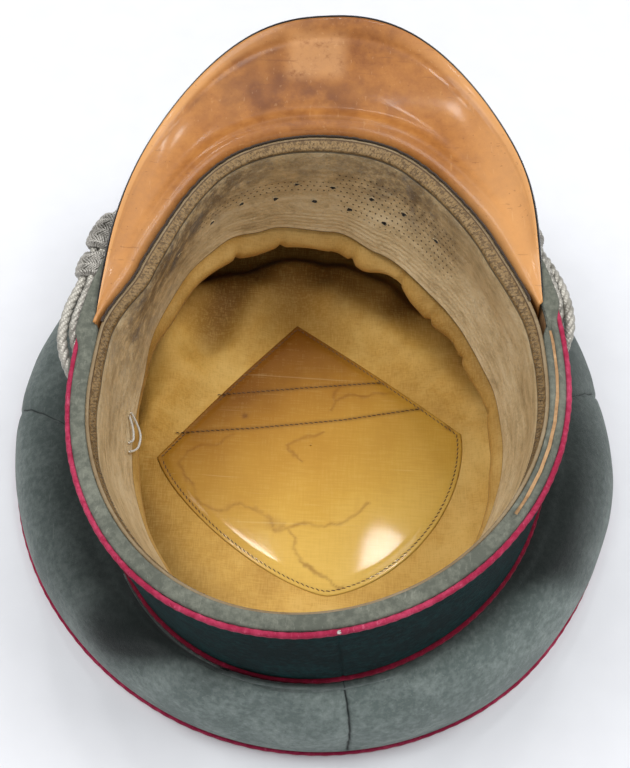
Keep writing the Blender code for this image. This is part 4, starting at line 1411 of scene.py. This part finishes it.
def lining_fold(point, direction, share):
    """The loose lining's height: it swells round the sheet sewn on its middle, in soft folds."""
    crest = from_table(LINING_CREST, direction, 1)
    height = from_table(LINING_CREST, direction, 2) * MM
    swell = between(share, crest - 0.24, crest, crest, crest + 0.1)
    beyond = smooth_step(shield_reach(point), 1.0, 1.35)
    near_edge = 1.0 - smooth_step(share, 0.88, 1.0)
    ray = Vector((math.cos(math.radians(direction)), math.sin(math.radians(direction)), 0.0))
    folds = wobble(ray + point * 4.0, 0.3, 2.0) + 0.35 * wobble(ray - point * 6.0, 0.14, 9.0)
    creases = wobble(point, 20.0 * MM, 11.0)
    soft = ((3.5 * folds + 0.4 * creases + 1.6) * MM + ridges(point)[0]) * beyond * near_edge
    return max(height * swell * beyond + soft, 0.0)


def make_lining_top():
    directions = ring_of(360)
    steps = 60
    middle = Vector((CROWN_ASIDE, CROWN_FORWARD, LINING_HEIGHT))
    grid = []
    for direction in directions:
        edge = crown_point(direction, LINING_EDGE, LINING_HEIGHT)
        row = []
        for step in range(steps + 1):
            share = 0.02 + 0.98 * step / steps
            point = middle + (edge - middle) * share
            row.append(point + UPRIGHT * lining_fold(point, direction, share))
        row.append(edge - UPRIGHT * LINING_CLOTH)
        row.append(middle + (edge - middle) * 0.02 - UPRIGHT * LINING_CLOTH)
        grid.append(row)

    # Painted shade: darker in the hollow beyond the crest, towards the front, less so on the right, and in
    # the folds' valleys; painted light towards the back
    def paint(i, j):
        point = grid[i][j]
        crest = from_table(LINING_CREST, directions[i], 1)
        hollow = smooth_step(j / steps, crest + 0.02, crest + 0.12) * smooth_step(point.y, -0.06, 0.02)
        deep = 0.6 * smooth_step(point.y, 0.05, 0.1) * (1.0 - 0.7 * smooth_step(point.x, 0.0, 0.04))
        deep = max(deep + ridges(point)[1] * smooth_step(shield_reach(point), 1.0, 1.3), 0.0)
        dark = max(min(deep, 1.0), 0.95 * hollow)
        return (dark, 0.4 * (1.0 - smooth_step(point.y, -0.06, 0.0)), 0.0)

    skin("top_lining_cloth", grid, [TOP_LINING], ["lining_top"], paint=paint)


make_lining_top()

# Stains on the sheet: x, y, half width along x and y in mm, strength
SHIELD_STAINS = (
    (-28.8, 32.6, 1.2, 1.2, 1.6),
    (59.0, 32.0, 2.2, 1.6, 0.8),
    (-14.0, -16.5, 3.5, 2.5, 0.35),
)
# Tide marks on the sheet, as lines through places in mm
TIDE_LINES = (
    ((11, 49), (9, 44), (9, 42), (8, 37)),
    ((9, 43), (18, 45), (24, 46), (34, 47)),
    ((5, 27), (-1, 24), (-9, 20), (-8, 16), (-3, 13)),
    ((-33, 24), (-38, 19), (-46, 17), (-52, 15), (-54, 8), (-49, 0), (-44, -10), (-37, -12), (-27, -8)),
    ((-27, -8), (-21, -11), (-14, -15), (-13, -20), (-10, -17), (-5, -23), (-3, -31), (2, -35), (14, -43)),
    ((-13, -20), (-2, -16), (7, -17), (16, -14), (25, -5)),
)
# The lines where the sheet's strips are sewn across it, in mm
STRIP_LINES = (
    ((-41.0, 42.2), (-5.8, 47.6), (31.2, 52.6)),
    ((-57.0, 22.6), (-26.1, 26.6), (14.0, 33.0), (48.5, 40.8)),
)


STITCH_PITCH = 2.1 * MM
STITCH_LENGTH = 1.35 * MM


def shield_dip(point, margin_away):
    """How far the sheet is drawn down along its margin's stitches, and how wavy it lies inside."""
    return 0.55 * MM * (0.75 + 0.5 * wobble(point, 45.0 * MM)) * (1.0 - 0.9 * hump(margin_away, 0.0, 2.0))


def sew(line, height, closed=False):
    """Short stitches along a line of points, a little slantwise."""
    along = lengths(line, closed)
    made = []
    for number in range(int((along[-1] - STITCH_LENGTH) / STITCH_PITCH)):
        ends = []
        for at in (number * STITCH_PITCH, number * STITCH_PITCH + STITCH_LENGTH):
            place = max(place for place in range(len(along) - 1) if along[place] <= at)
            part = (at - along[place]) / (along[place + 1] - along[place])
            ends.append(line[place] + (line[(place + 1) % len(line)] - line[place]) * part)
        slant = (ends[1] - ends[0]).cross(UPRIGHT) * (0.16 + 0.1 * noise.noise(ends[0] * 900.0))
        ends = [ends[0] - slant, ends[1] + slant]
        low = UPRIGHT * (height - 0.1 * MM)
        made.append([ends[0] + low, (ends[0] + ends[1]) * 0.5 + low + UPRIGHT * (0.2 * MM), ends[1] + low])
    return made


def make_shield():
    """The clear sheet, drawn down along its stitches and a little wavy between them."""
    ring = shield_outline(90)
    steps = 96
    first = 0.004
    margin = 0.97
    bed = LINING_HEIGHT + 0.3 * MM
    under = UPRIGHT * (LINING_HEIGHT + 0.05 * MM)
    grid = []
    for corner in ring:
        row = []
        reach = (corner - SHIELD_MIDDLE).length / MM
        for step in range(steps + 1):
            share = first + (1.0 - first) * step / steps
            point = SHIELD_MIDDLE + (corner - SHIELD_MIDDLE) * share
            height = shield_dip(point, (share - margin) * reach) * (1.0 - smooth_step(share, 0.985, 1.0))
            row.append(point + UPRIGHT * (bed + height))
        row.append(corner + under)
        row.append(SHIELD_MIDDLE + (corner - SHIELD_MIDDLE) * first + under)
        grid.append(row)

    def paint(i, j):
        x, y, _ = grid[i][j] / MM
        stain = 0.0
        for stain_x, stain_y, wide, deep, strength in SHIELD_STAINS:
            stain += strength * hump(x, stain_x, wide) * hump(y, stain_y, deep)
        stray = Vector((x * 0.16, y * 0.16, 0.0))
        tide_x = x + 1.6 * noise.noise(stray) + 0.8 * noise.noise(stray * 3.0)
        tide_y = y + 1.6 * noise.noise(stray + Vector((5.0, 0.0, 0.0))) + 0.8 * noise.noise(stray * 3.0)
        tide = max(hump(near_line(tide_x, tide_y, line), 0.0, 0.65) for line in TIDE_LINES)
        tide *= 0.75 + 0.5 * noise.noise(stray * 0.8)
        seam = max(hump(near_line(x, y, line), 0.0, 1.0) for line in STRIP_LINES)
        share = j / steps
        rim = 0.5 * smooth_step(share, 0.985, 0.995) + 0.4 * hump((share - margin) * 60.0, 0.0, 0.7)
        return (min(stain, 1.0), min(seam + rim, 1.0), max(tide, 0.0))

    skin("sweat_shield_sheet", grid, [SHIELD_LOOK], ["sweat_shield"], paint=paint)
    height = bed + 0.1 * MM
    hem = [SHIELD_MIDDLE + (corner - SHIELD_MIDDLE) * margin for corner in ring]
    stitches = [
        stitch for stitch in sew(hem, height, True)
        if not (-57.0 * MM < stitch[0].x < -41.0 * MM and stitch[0].y > 22.0 * MM)
    ]
    for line in STRIP_LINES:
        for stitch in sew([Vector((x * MM, y * MM, 0.0)) for x, y in line], height):
            stitches.append([point + UP * shield_dip(point, 100.0) for point in stitch])
    threads("sweat_shield_stitches", stitches, 0.19 * MM, 5, [SHEET_THREAD])


make_shield()


PEAK_STEPS = 64
PEAK_RIM_STEPS = 4
PEAK_FLARE = 2.0 * MM


def peak_corner(direction):
    return rim_point(direction, FLANGE_INSET + 0.2 * MM, -PIPING_RADIUS - CLEARANCE)


def peak_edge(direction):
    """The outer edge: a full oval from corner to corner that pitches up and dips at its flanks."""
    left = peak_corner(-PEAK_CORNER_LEFT)
    right = peak_corner(PEAK_CORNER_RIGHT)
    span = PEAK_CORNER_LEFT + PEAK_CORNER_RIGHT
    turn = math.pi * ((direction + PEAK_CORNER_LEFT) / span - 0.5)
    across = signed_power(math.sin(turn), 2.0 / PEAK_FULLNESS)
    ahead = abs(math.cos(turn)) ** (2.0 / PEAK_FULLNESS)
    forward = AHEAD * math.cos(PEAK_PITCH) + UP * math.sin(PEAK_PITCH)
    dip = UP * (PEAK_EDGE_DIP * math.sin(2.0 * turn) ** 2)
    flare = ACROSS * (PEAK_FLARE * hump(direction, 60.0, 13.0))
    aside = (right - left) * (0.5 * across)
    return (left + right) * 0.5 + aside + forward * (PEAK_REACH * ahead) - dip + flare


def peak_lines(direction):
    """The two faces of the peak at a direction: the one below, and the tan one that shows here."""
    from_corner = min(direction + PEAK_CORNER_LEFT, PEAK_CORNER_RIGHT - direction)
    folded = smooth_step(from_corner, 0.0, PEAK_FOLD_RUN)
    tapered = 0.25 + 0.75 * smooth_step(from_corner, 0.0, 9.0)
    rise_over = PIPING_RADIUS + 2.0 * CLEARANCE
    stray = seam_stray(direction)
    flange = [
        rim_point(direction, FLANGE_INSET, PEAK_FLANGE),
        rim_point(direction, FLANGE_INSET + stray, -STRIP_CROWNING),
        rim_point(direction, FLANGE_INSET - 0.4 * PEAK_BOARD * folded + stray, -rise_over),
    ]
    fold = rim_point(direction, FLANGE_INSET * (1.0 - 0.5 * folded) + stray, -rise_over - 0.4 * MM)
    edge = peak_edge(direction)
    width = (edge - fold).length
    full_width = min(width / (0.35 * PEAK_REACH), 1.0)
    raised = smooth_step(width, 0.15 * PEAK_REACH, 0.5 * PEAK_REACH)
    rim = min(2.0 * MM, 0.3 * width)
    distances = [(width - rim) * step / PEAK_STEPS for step in range(PEAK_STEPS + 1)]
    distances += [width - rim + rim * step / PEAK_RIM_STEPS for step in range(1, PEAK_RIM_STEPS + 1)]
    board = []
    for distance in distances:
        share = distance / width
        dip = PEAK_SAG * full_width * math.sin(math.pi * share) * (1.0 - 0.3 * share)
        board.append(fold + (edge - fold) * share - UP * dip)
    outer = flange + board
    along = along_ring(rim_point, direction)
    thickness = [-PEAK_BOARD * tapered] * len(flange)
    for distance, point in zip(distances, board):
        share = distance / width
        root = smooth_step(distance, 1.0 * MM, 3.0 * MM) * raised
        relief = 0.6 * PEAK_BEAD * hump(share, PEAK_BEAD_PLACE, 0.055) * raised
        relief -= 0.9 * MM * hump(distance, 8.0 * MM, 2.6 * MM) * root
        relief += 0.9 * MM * hump(distance, 3.2 * MM, 2.2 * MM) * root
        relief += 0.5 * MM * wobble(point, 40.0 * MM, 6.0) * smooth_step(share, 0.1, 0.4) * full_width
        relief -= 0.5 * MM * hump(share, PEAK_BEAD_PLACE - 0.09, 0.03) * raised
        rounded = max(distance - (width - rim), 0.0) / rim
        relief -= 0.6 * PEAK_BOARD * rounded * rounded
        thickness.append(-(PEAK_BOARD + relief) * tapered)
    inner = offset_profile(outer, along, thickness)
    return outer, inner


def peak_paint(direction, share, point):
    """Worn dark places and painted shade at the root and inside the bead, the pale patch, and the orange
    border of the underside.
    """
    x = point.x / MM
    y = point.y / MM
    ragged = 1.0 + 0.8 * wobble(point, 6.0 * MM, 3.0)
    # painted shade at the root and in the groove inside the bead
    dark = 0.25 * hump(share, 0.0, 0.05) + 0.4 * hump(share, PEAK_BEAD_PLACE - 0.11, 0.03)
    dark += 0.6 * hump(x, -30.0, 24.0) * hump(y, 126.0, 16.0)
    dark += 0.75 * hump(x, 2.0, 34.0) * hump(y, 119.0, 8.0)
    dark += 0.8 * hump(x, -2.0, 34.0) * hump(y, 148.0, 6.0)
    pale = between(x, -20.0, -13.0, 2.0, 9.0) * between(y, 125.0, 131.0, 141.0, 146.0)
    border = smooth_step(share, PEAK_BEAD_PLACE - 0.05, PEAK_BEAD_PLACE + 0.02)
    border *= 1.0 - hump(direction, 2.0, 30.0)
    flank = 0.75 * smooth_step(direction, 28.0, 55.0) + 0.5 * smooth_step(-direction, 34.0, 60.0)
    return (min(dark * ragged * (1.0 - 0.7 * pale), 1.0), pale, max(border, flank))


def make_peak():
    """The peak: tan varnished fibre that shows here, and black lacquer on the other face and edge."""
    count = 280
    first = 0.3 - PEAK_CORNER_LEFT
    span = PEAK_CORNER_LEFT + PEAK_CORNER_RIGHT - 0.6
    directions = [first + span * place / count for place in range(count + 1)]
    grid = []
    for direction in directions:
        outer, inner = peak_lines(direction)
        grid.append(inner + outer[:2:-4] + outer[2::-1])
    visible = PEAK_STEPS + PEAK_RIM_STEPS + 4

    def paint(i, j):
        if j >= visible:
            return UNPAINTED
        return peak_paint(directions[i], max((j - 3) / (PEAK_STEPS + 1), 0.0), grid[i][j])

    def pick(i, j):
        return 0 if j < visible - PEAK_RIM_STEPS + 1 else 1

    looks = [PEAK_LOOK, LACQUER]
    made = skin("peak_board", grid, looks, ["peak"], around=False, paint=paint, pick=pick)
    close_up(made.data, fill=True)
    seam = []
    for place in range(401):
        direction = 1.0 - PEAK_CORNER_LEFT + (PEAK_CORNER_LEFT + PEAK_CORNER_RIGHT - 3.0) * place / 400
        stray = seam_stray(direction) + 0.35 * MM * wobble(Vector((direction * 0.6, 0.0, 3.0)), 1.0)
        stray += 0.2 * MM * wobble(Vector((direction * 2.4, 0.0, 8.0)), 1.0)
        seam.append(rim_point(direction, sweatband_inset(direction) + stray, -STRIP_CROWNING - 0.5 * MM))
    threads("peak_seam_thread", [seam], seam_radius, 6, [DARK_THREAD])


def seam_radius(share):
    return (0.42 + 0.14 * noise.noise(Vector((share * 160.0, 0.0, 0.0)))) * MM


make_peak()


# The cord's plies, and the length of one turn of their twist
CORD_PLIES = 3
PLY_RADIUS = 1.25 * MM
CORD_LAY = 10.0 * MM


def cord_point(direction, depth, out):
    return rim_point(direction, BAND_INSET - out, depth)


def smooth_loop(points, steps):
    """Points of a smooth closed curve through the given ones."""
    count = len(points)
    made = []
    for place in range(count):
        made += spline(*[points[(place + step) % count] for step in (-1, 0, 1, 2)], steps)
    return made


def even_loop(points, spacing):
    """The closed line again, with points at an even spacing."""
    along = lengths(points, True)
    count = round(along[-1] / spacing)
    made = []
    place = 0
    for step in range(count):
        at = along[-1] * step / count
        while along[place + 1] < at:
            place += 1
        part = (at - along[place]) / max(along[place + 1] - along[place], 1e-9)
        made.append(points[place] + (points[(place + 1) % len(points)] - points[place]) * part)
    return made


def make_chin_cord():
    """The silver cord: plies of wound wire, twisted together."""
    rows = (*CORD_OUTER, CORD_TURN_RIGHT, *CORD_INNER[::-1], CORD_TURN_LEFT)
    coarse = smooth_loop([cord_point(d, depth * MM, out * MM) for d, depth, out in rows], 2)
    path = even_loop(smooth_loop(coarse, 10), 0.75 * MM)
    count = len(path)
    along = lengths(path, True)
    turns = round(along[-1] / CORD_LAY)
    reach = CORD_RADIUS - PLY_RADIUS
    strands = []
    for ply in range(CORD_PLIES):
        strand = []
        for place, point in enumerate(path):
            run = (path[(place + 1) % count] - path[place - 1]).normalized()
            outward = Vector((point.x, point.y, 0.0)).normalized()
            first = run.cross(outward).normalized()
            second = run.cross(first).normalized()
            turn = 2.0 * math.pi * (turns * place / count + ply / CORD_PLIES)
            strand.append(point + (first * math.cos(turn) + second * math.sin(turn)) * reach)
        strands.append(strand)
    threads("chin_cord_plies", strands, PLY_RADIUS, 8, [WIRE], ["chin_cord"], closed=True)


make_chin_cord()


def strand_at(strand, direction):
    place = next(place for place, row in enumerate(strand) if row[0] == direction)
    before, middle, after = (
        cord_point(d, depth * MM, out * MM) for d, depth, out in strand[place - 1 : place + 2]
    )
    return middle, after - before


KNOT_BANDS = 7
KNOT_WIRES = 4
KNOT_STEPS = 96
CORE_STEPS = 24


def make_knots():
    """Slides plaited from flat bands of fine wire over a dull core."""
    for name, direction, length, half_width, half_thickness in SLIDES:
        inner, inner_run = strand_at(CORD_INNER, direction)
        outer, outer_run = strand_at(CORD_OUTER, direction)
        middle = (inner + outer) * 0.5
        run = (inner_run + outer_run).normalized()
        apart = (outer - inner) - run * (outer - inner).dot(run)
        across = apart.normalized()
        outward = across.cross(run)
        half_length = 0.5 * length * MM + 1.2 * MM
        girth = 2.0 * math.pi * 0.5 * (half_width + half_thickness) * MM
        wire_gap = 0.92 * girth / (KNOT_BANDS * KNOT_WIRES)
        wire_radius = 0.36 * wire_gap
        twist = 2.0 * math.pi * half_length / girth

        def surface(turn, share, lift):
            swell = (1.0 - 0.16 * share * share - 0.3 * smooth_step(abs(share), 0.86, 1.0)) * MM
            reach_across = (half_width * swell + lift) * signed_power(math.cos(turn), 0.8)
            reach_out = (half_thickness * swell + lift) * signed_power(math.sin(turn), 0.8)
            place = middle + run * (half_length * share)
            return place + across * reach_across + outward * reach_out

        strands = []
        for way in (-1.0, 1.0):
            for band in range(KNOT_BANDS):
                for wire in range(KNOT_WIRES):
                    path = []
                    for step in range(KNOT_STEPS + 1):
                        share = -1.0 + 2.0 * step / KNOT_STEPS
                        middle_turn = 2.0 * math.pi * band / KNOT_BANDS + way * twist * share
                        over = math.cos(KNOT_BANDS * twist * share)
                        over = way * math.copysign(abs(over) ** 0.7, over)
                        offset = (wire - 0.5 * (KNOT_WIRES - 1)) * wire_gap * 2.0 * math.pi / girth
                        path.append(surface(middle_turn + offset, share, (0.38 * over - 0.5) * MM))
                    strands.append(path)
        threads(name + "_weave", strands, wire_radius, 6, [WOVEN_WIRE], [name])
        rings = []
        for step in range(CORE_STEPS + 1):
            share = -1.0 + 2.0 * step / CORE_STEPS
            closing = 1.0 - 0.5 * smooth_step(abs(share), 0.85, 1.0)
            place = middle + run * (half_length * share * 0.98)
            ring = [surface(turn, share * 0.98, -1.0 * MM) for turn in turns_of(36)]
            rings.append([place + (point - place) * closing for point in ring])
        skin(name + "_core", rings, [CORE_WIRE], around=False)


make_knots()


def make_buttons():
    """Plain domed buttons on short stems."""
    for name, direction in (("side_button_left", BUTTON_LEFT), ("side_button_right", BUTTON_RIGHT)):
        foot = cord_point(direction, BUTTON_DEPTH, 0.0)
        run = along_ring(rim_point, direction)
        outward = run.cross(UP).normalized()
        if outward.dot(Vector((foot.x, foot.y, 0.0))) < 0.0:
            outward = -outward
        down = outward.cross(run).normalized()
        base = 2.0 * CORD_RADIUS + 3.0 * CLEARANCE
        profile = [
            (0.02 * MM, CLEARANCE),
            (BUTTON_STEM_RADIUS, CLEARANCE),
            (BUTTON_STEM_RADIUS, base),
            (0.93 * BUTTON_RADIUS, base),
            (BUTTON_RADIUS, base + 0.1 * BUTTON_DOME),
            (BUTTON_RADIUS, base + 0.22 * BUTTON_DOME),
            (0.95 * BUTTON_RADIUS, base + 0.3 * BUTTON_DOME),
            (0.9 * BUTTON_RADIUS, base + 0.28 * BUTTON_DOME),
        ]
        for step in range(10):
            turn = 0.5 * math.pi * (step + 1) / 10
            radius = max(0.88 * BUTTON_RADIUS * math.cos(turn), 0.02 * MM)
            profile.append((radius, base + BUTTON_DOME * (0.35 + 0.65 * math.sin(turn))))
        grid = []
        for turn in turns_of(48):
            round_way = run * math.cos(turn) + down * math.sin(turn)
            grid.append([foot + outward * height + round_way * radius for radius, height in profile])
        skin(name + "_turned", grid, [BUTTON], [name], across=False)


make_buttons()


def smooth_path(points, steps):
    """Points of a smooth open curve through the given ones."""
    ends = [points[0] * 2.0 - points[1], *points, points[-1] * 2.0 - points[-2]]
    made = []
    for place in range(1, len(ends) - 2):
        made += spline(*ends[place - 1 : place + 3], steps)
    return [*made, points[-1]]


# Loops of white thread on the leather: direction, share of its width and how proud, in mm
WHITE_LOOPS = (
    (
        (-86.5, 0.86, 0.6),
        (-87.4, 0.95, 1.5),
        (-89.2, 1.02, 2.4),
        (-92.5, 1.0, 2.2),
        (-94.8, 0.94, 1.4),
        (-96.0, 0.88, 0.6),
    ),
    ((-87.6, 0.83, 0.6), (-89.5, 0.9, 1.3), (-92.0, 0.92, 1.3), (-93.6, 0.87, 0.6)),
)


def make_loose_threads():
    """Two loops of white thread at the left of the leather, and the piping's frayed end."""
    paths = []
    for loop in WHITE_LOOPS:
        paths.append(smooth_path([leather_point(d, share, proud * MM) for d, share, proud in loop], 8))
    threads("white_thread_loop", paths, 0.45 * MM, 6, [WHITE_THREAD])
    frayed = []
    for number in range(14):
        seed = Vector((number * 1.3, 0.4, 2.0))
        round_rim, inward, *way = (noise.noise(seed * scale) for scale in (1.0, 2.0, 3.0, 4.0, 5.0))
        start = rim_point(SEAM_BACK - 0.1 + 0.25 * round_rim, 0.6 * MM * inward, -0.6 * MM)
        way = Vector((way[0], way[1] - 0.3, 0.5 + way[2] * 0.5))
        end = start + way * (1.3 * MM) + Vector((0.3 * MM, 0.0, -0.3 * MM))
        frayed.append([start, start + way * (0.7 * MM), end])
    threads("piping_frayed_end", frayed, 0.13 * MM, 4, [WHITE_THREAD])


make_loose_threads()

# Nodes whose own solids show
for name, look in (("crown_top", GREY_WOOL), ("band_stiffener", BOARD)):
    node = nodes[name]
    node.data.materials.clear()
    node.data.materials.append(look)


def make_floor():
    mesh = bpy.data.meshes.new("floor")
    reach = 3.0
    corners = [(-reach, -reach, 0.0), (reach, -reach, 0.0), (reach, reach, 0.0), (-reach, reach, 0.0)]
    mesh.from_pydata(corners, [], [(0, 1, 2, 3)])
    mesh.materials.append(floor_look())
    floor = bpy.data.objects.new("floor", mesh)
    bpy.context.scene.collection.objects.link(floor)
    floor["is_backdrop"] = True


make_floor()

# The camera: turned about the rim, and the place in the picture where the rim's middle falls
CAMERA_TURN = math.radians(-0.82)
CAMERA_RISE = math.radians(58.94)
CAMERA_ROLL = math.radians(3.56)
CAMERA_DISTANCE = 390.9 * MM
CAMERA_ASIDE = 0.34 * MM
CAMERA_ABOVE = 3.86 * MM
CAMERA_AIM_HEIGHT = 94.4 * MM
CAMERA_LENS = 53.2
CAMERA_SENSOR = 36.0
CAMERA_NEAREST = 0.01
CAMERA_FARTHEST = 20.0


def make_camera():
    back = Vector(
        (
            math.sin(CAMERA_TURN) * math.cos(CAMERA_RISE),
            -math.cos(CAMERA_TURN) * math.cos(CAMERA_RISE),
            math.sin(CAMERA_RISE),
        )
    )
    level = Vector((math.cos(CAMERA_TURN), math.sin(CAMERA_TURN), 0.0))
    upright = back.cross(level)
    right = level * math.cos(CAMERA_ROLL) + upright * math.sin(CAMERA_ROLL)
    above = upright * math.cos(CAMERA_ROLL) - level * math.sin(CAMERA_ROLL)
    aim = Vector((SHIFT.x, SHIFT.y, CAMERA_AIM_HEIGHT))
    place = aim + back * CAMERA_DISTANCE - right * CAMERA_ASIDE - above * CAMERA_ABOVE
    data = bpy.data.cameras.new("camera")
    data.sensor_width = CAMERA_SENSOR
    data.lens = CAMERA_LENS
    data.clip_start = CAMERA_NEAREST
    data.clip_end = CAMERA_FARTHEST
    camera = bpy.data.objects.new("camera", data)
    bpy.context.scene.collection.objects.link(camera)
    turned = Matrix((right, above, back)).transposed().to_4x4()
    camera.matrix_world = Matrix.Translation(place) @ turned
    bpy.context.scene.camera = camera
    return place


CAMERA_PLACE = make_camera()


# Broad lights: name, place, size and power
LIGHTS = (
    ("left_box", (-0.68, 0.16, 1.35), (0.7, 0.8), 11.0),
    ("right_box", (0.68, 0.16, 1.35), (0.7, 0.8), 11.2),
    ("near_light", (0.0, -1.3, 1.2), (1.6, 0.9), 5.0),
)
LIGHT_AIM = (0.0, 0.0, 0.05)


def make_light(name, place, aim, size, power):
    data = bpy.data.lights.new(name, "AREA")
    data.shape = "ELLIPSE"
    data.size, data.size_y = size
    data.energy = power
    light = bpy.data.objects.new(name, data)
    bpy.context.scene.collection.objects.link(light)
    light.location = place
    toward = Vector(aim) - Vector(place)
    light.rotation_euler = toward.to_track_quat("-Z", "Y").to_euler()


for name, place, size, power in LIGHTS:
    make_light(name, place, LIGHT_AIM, size, power)

# Two small lamps mirrored in the sheet: the places in mm on it where they are seen
LAMP_GLINTS = ((-25.0, -30.0), (33.0, -32.0))
LAMP_AWAY = 1.4
LAMP_SIZE = (0.09, 0.08)
LAMP_POWER = 1.2
for number, (x, y) in enumerate(LAMP_GLINTS):
    seen_at = Vector((x * MM, y * MM, LINING_HEIGHT + SHIELD_SHEET)) + SHIFT
    ray = (seen_at - CAMERA_PLACE).normalized()
    lamp = seen_at + Vector((ray.x, ray.y, -ray.z)) * LAMP_AWAY
    make_light(f"small_lamp_{number}", lamp, seen_at, LAMP_SIZE, LAMP_POWER)

WORLD_COLOR = (0.95, 0.97, 1.0, 1.0)
WORLD_STRENGTH = 0.3
world = bpy.data.worlds.new("soft_room")
bpy.context.scene.world = world
world.use_nodes = True
background = world.node_tree.nodes["Background"]
background.inputs["Color"].default_value = WORLD_COLOR
background.inputs["Strength"].default_value = WORLD_STRENGTH
bpy.context.scene.view_settings.view_transform = "Standard"

boxes = {"cad": cad_box, "visual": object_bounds()}
{key: [[float(v) for v in corner] for corner in box] for key, box in boxes.items()}
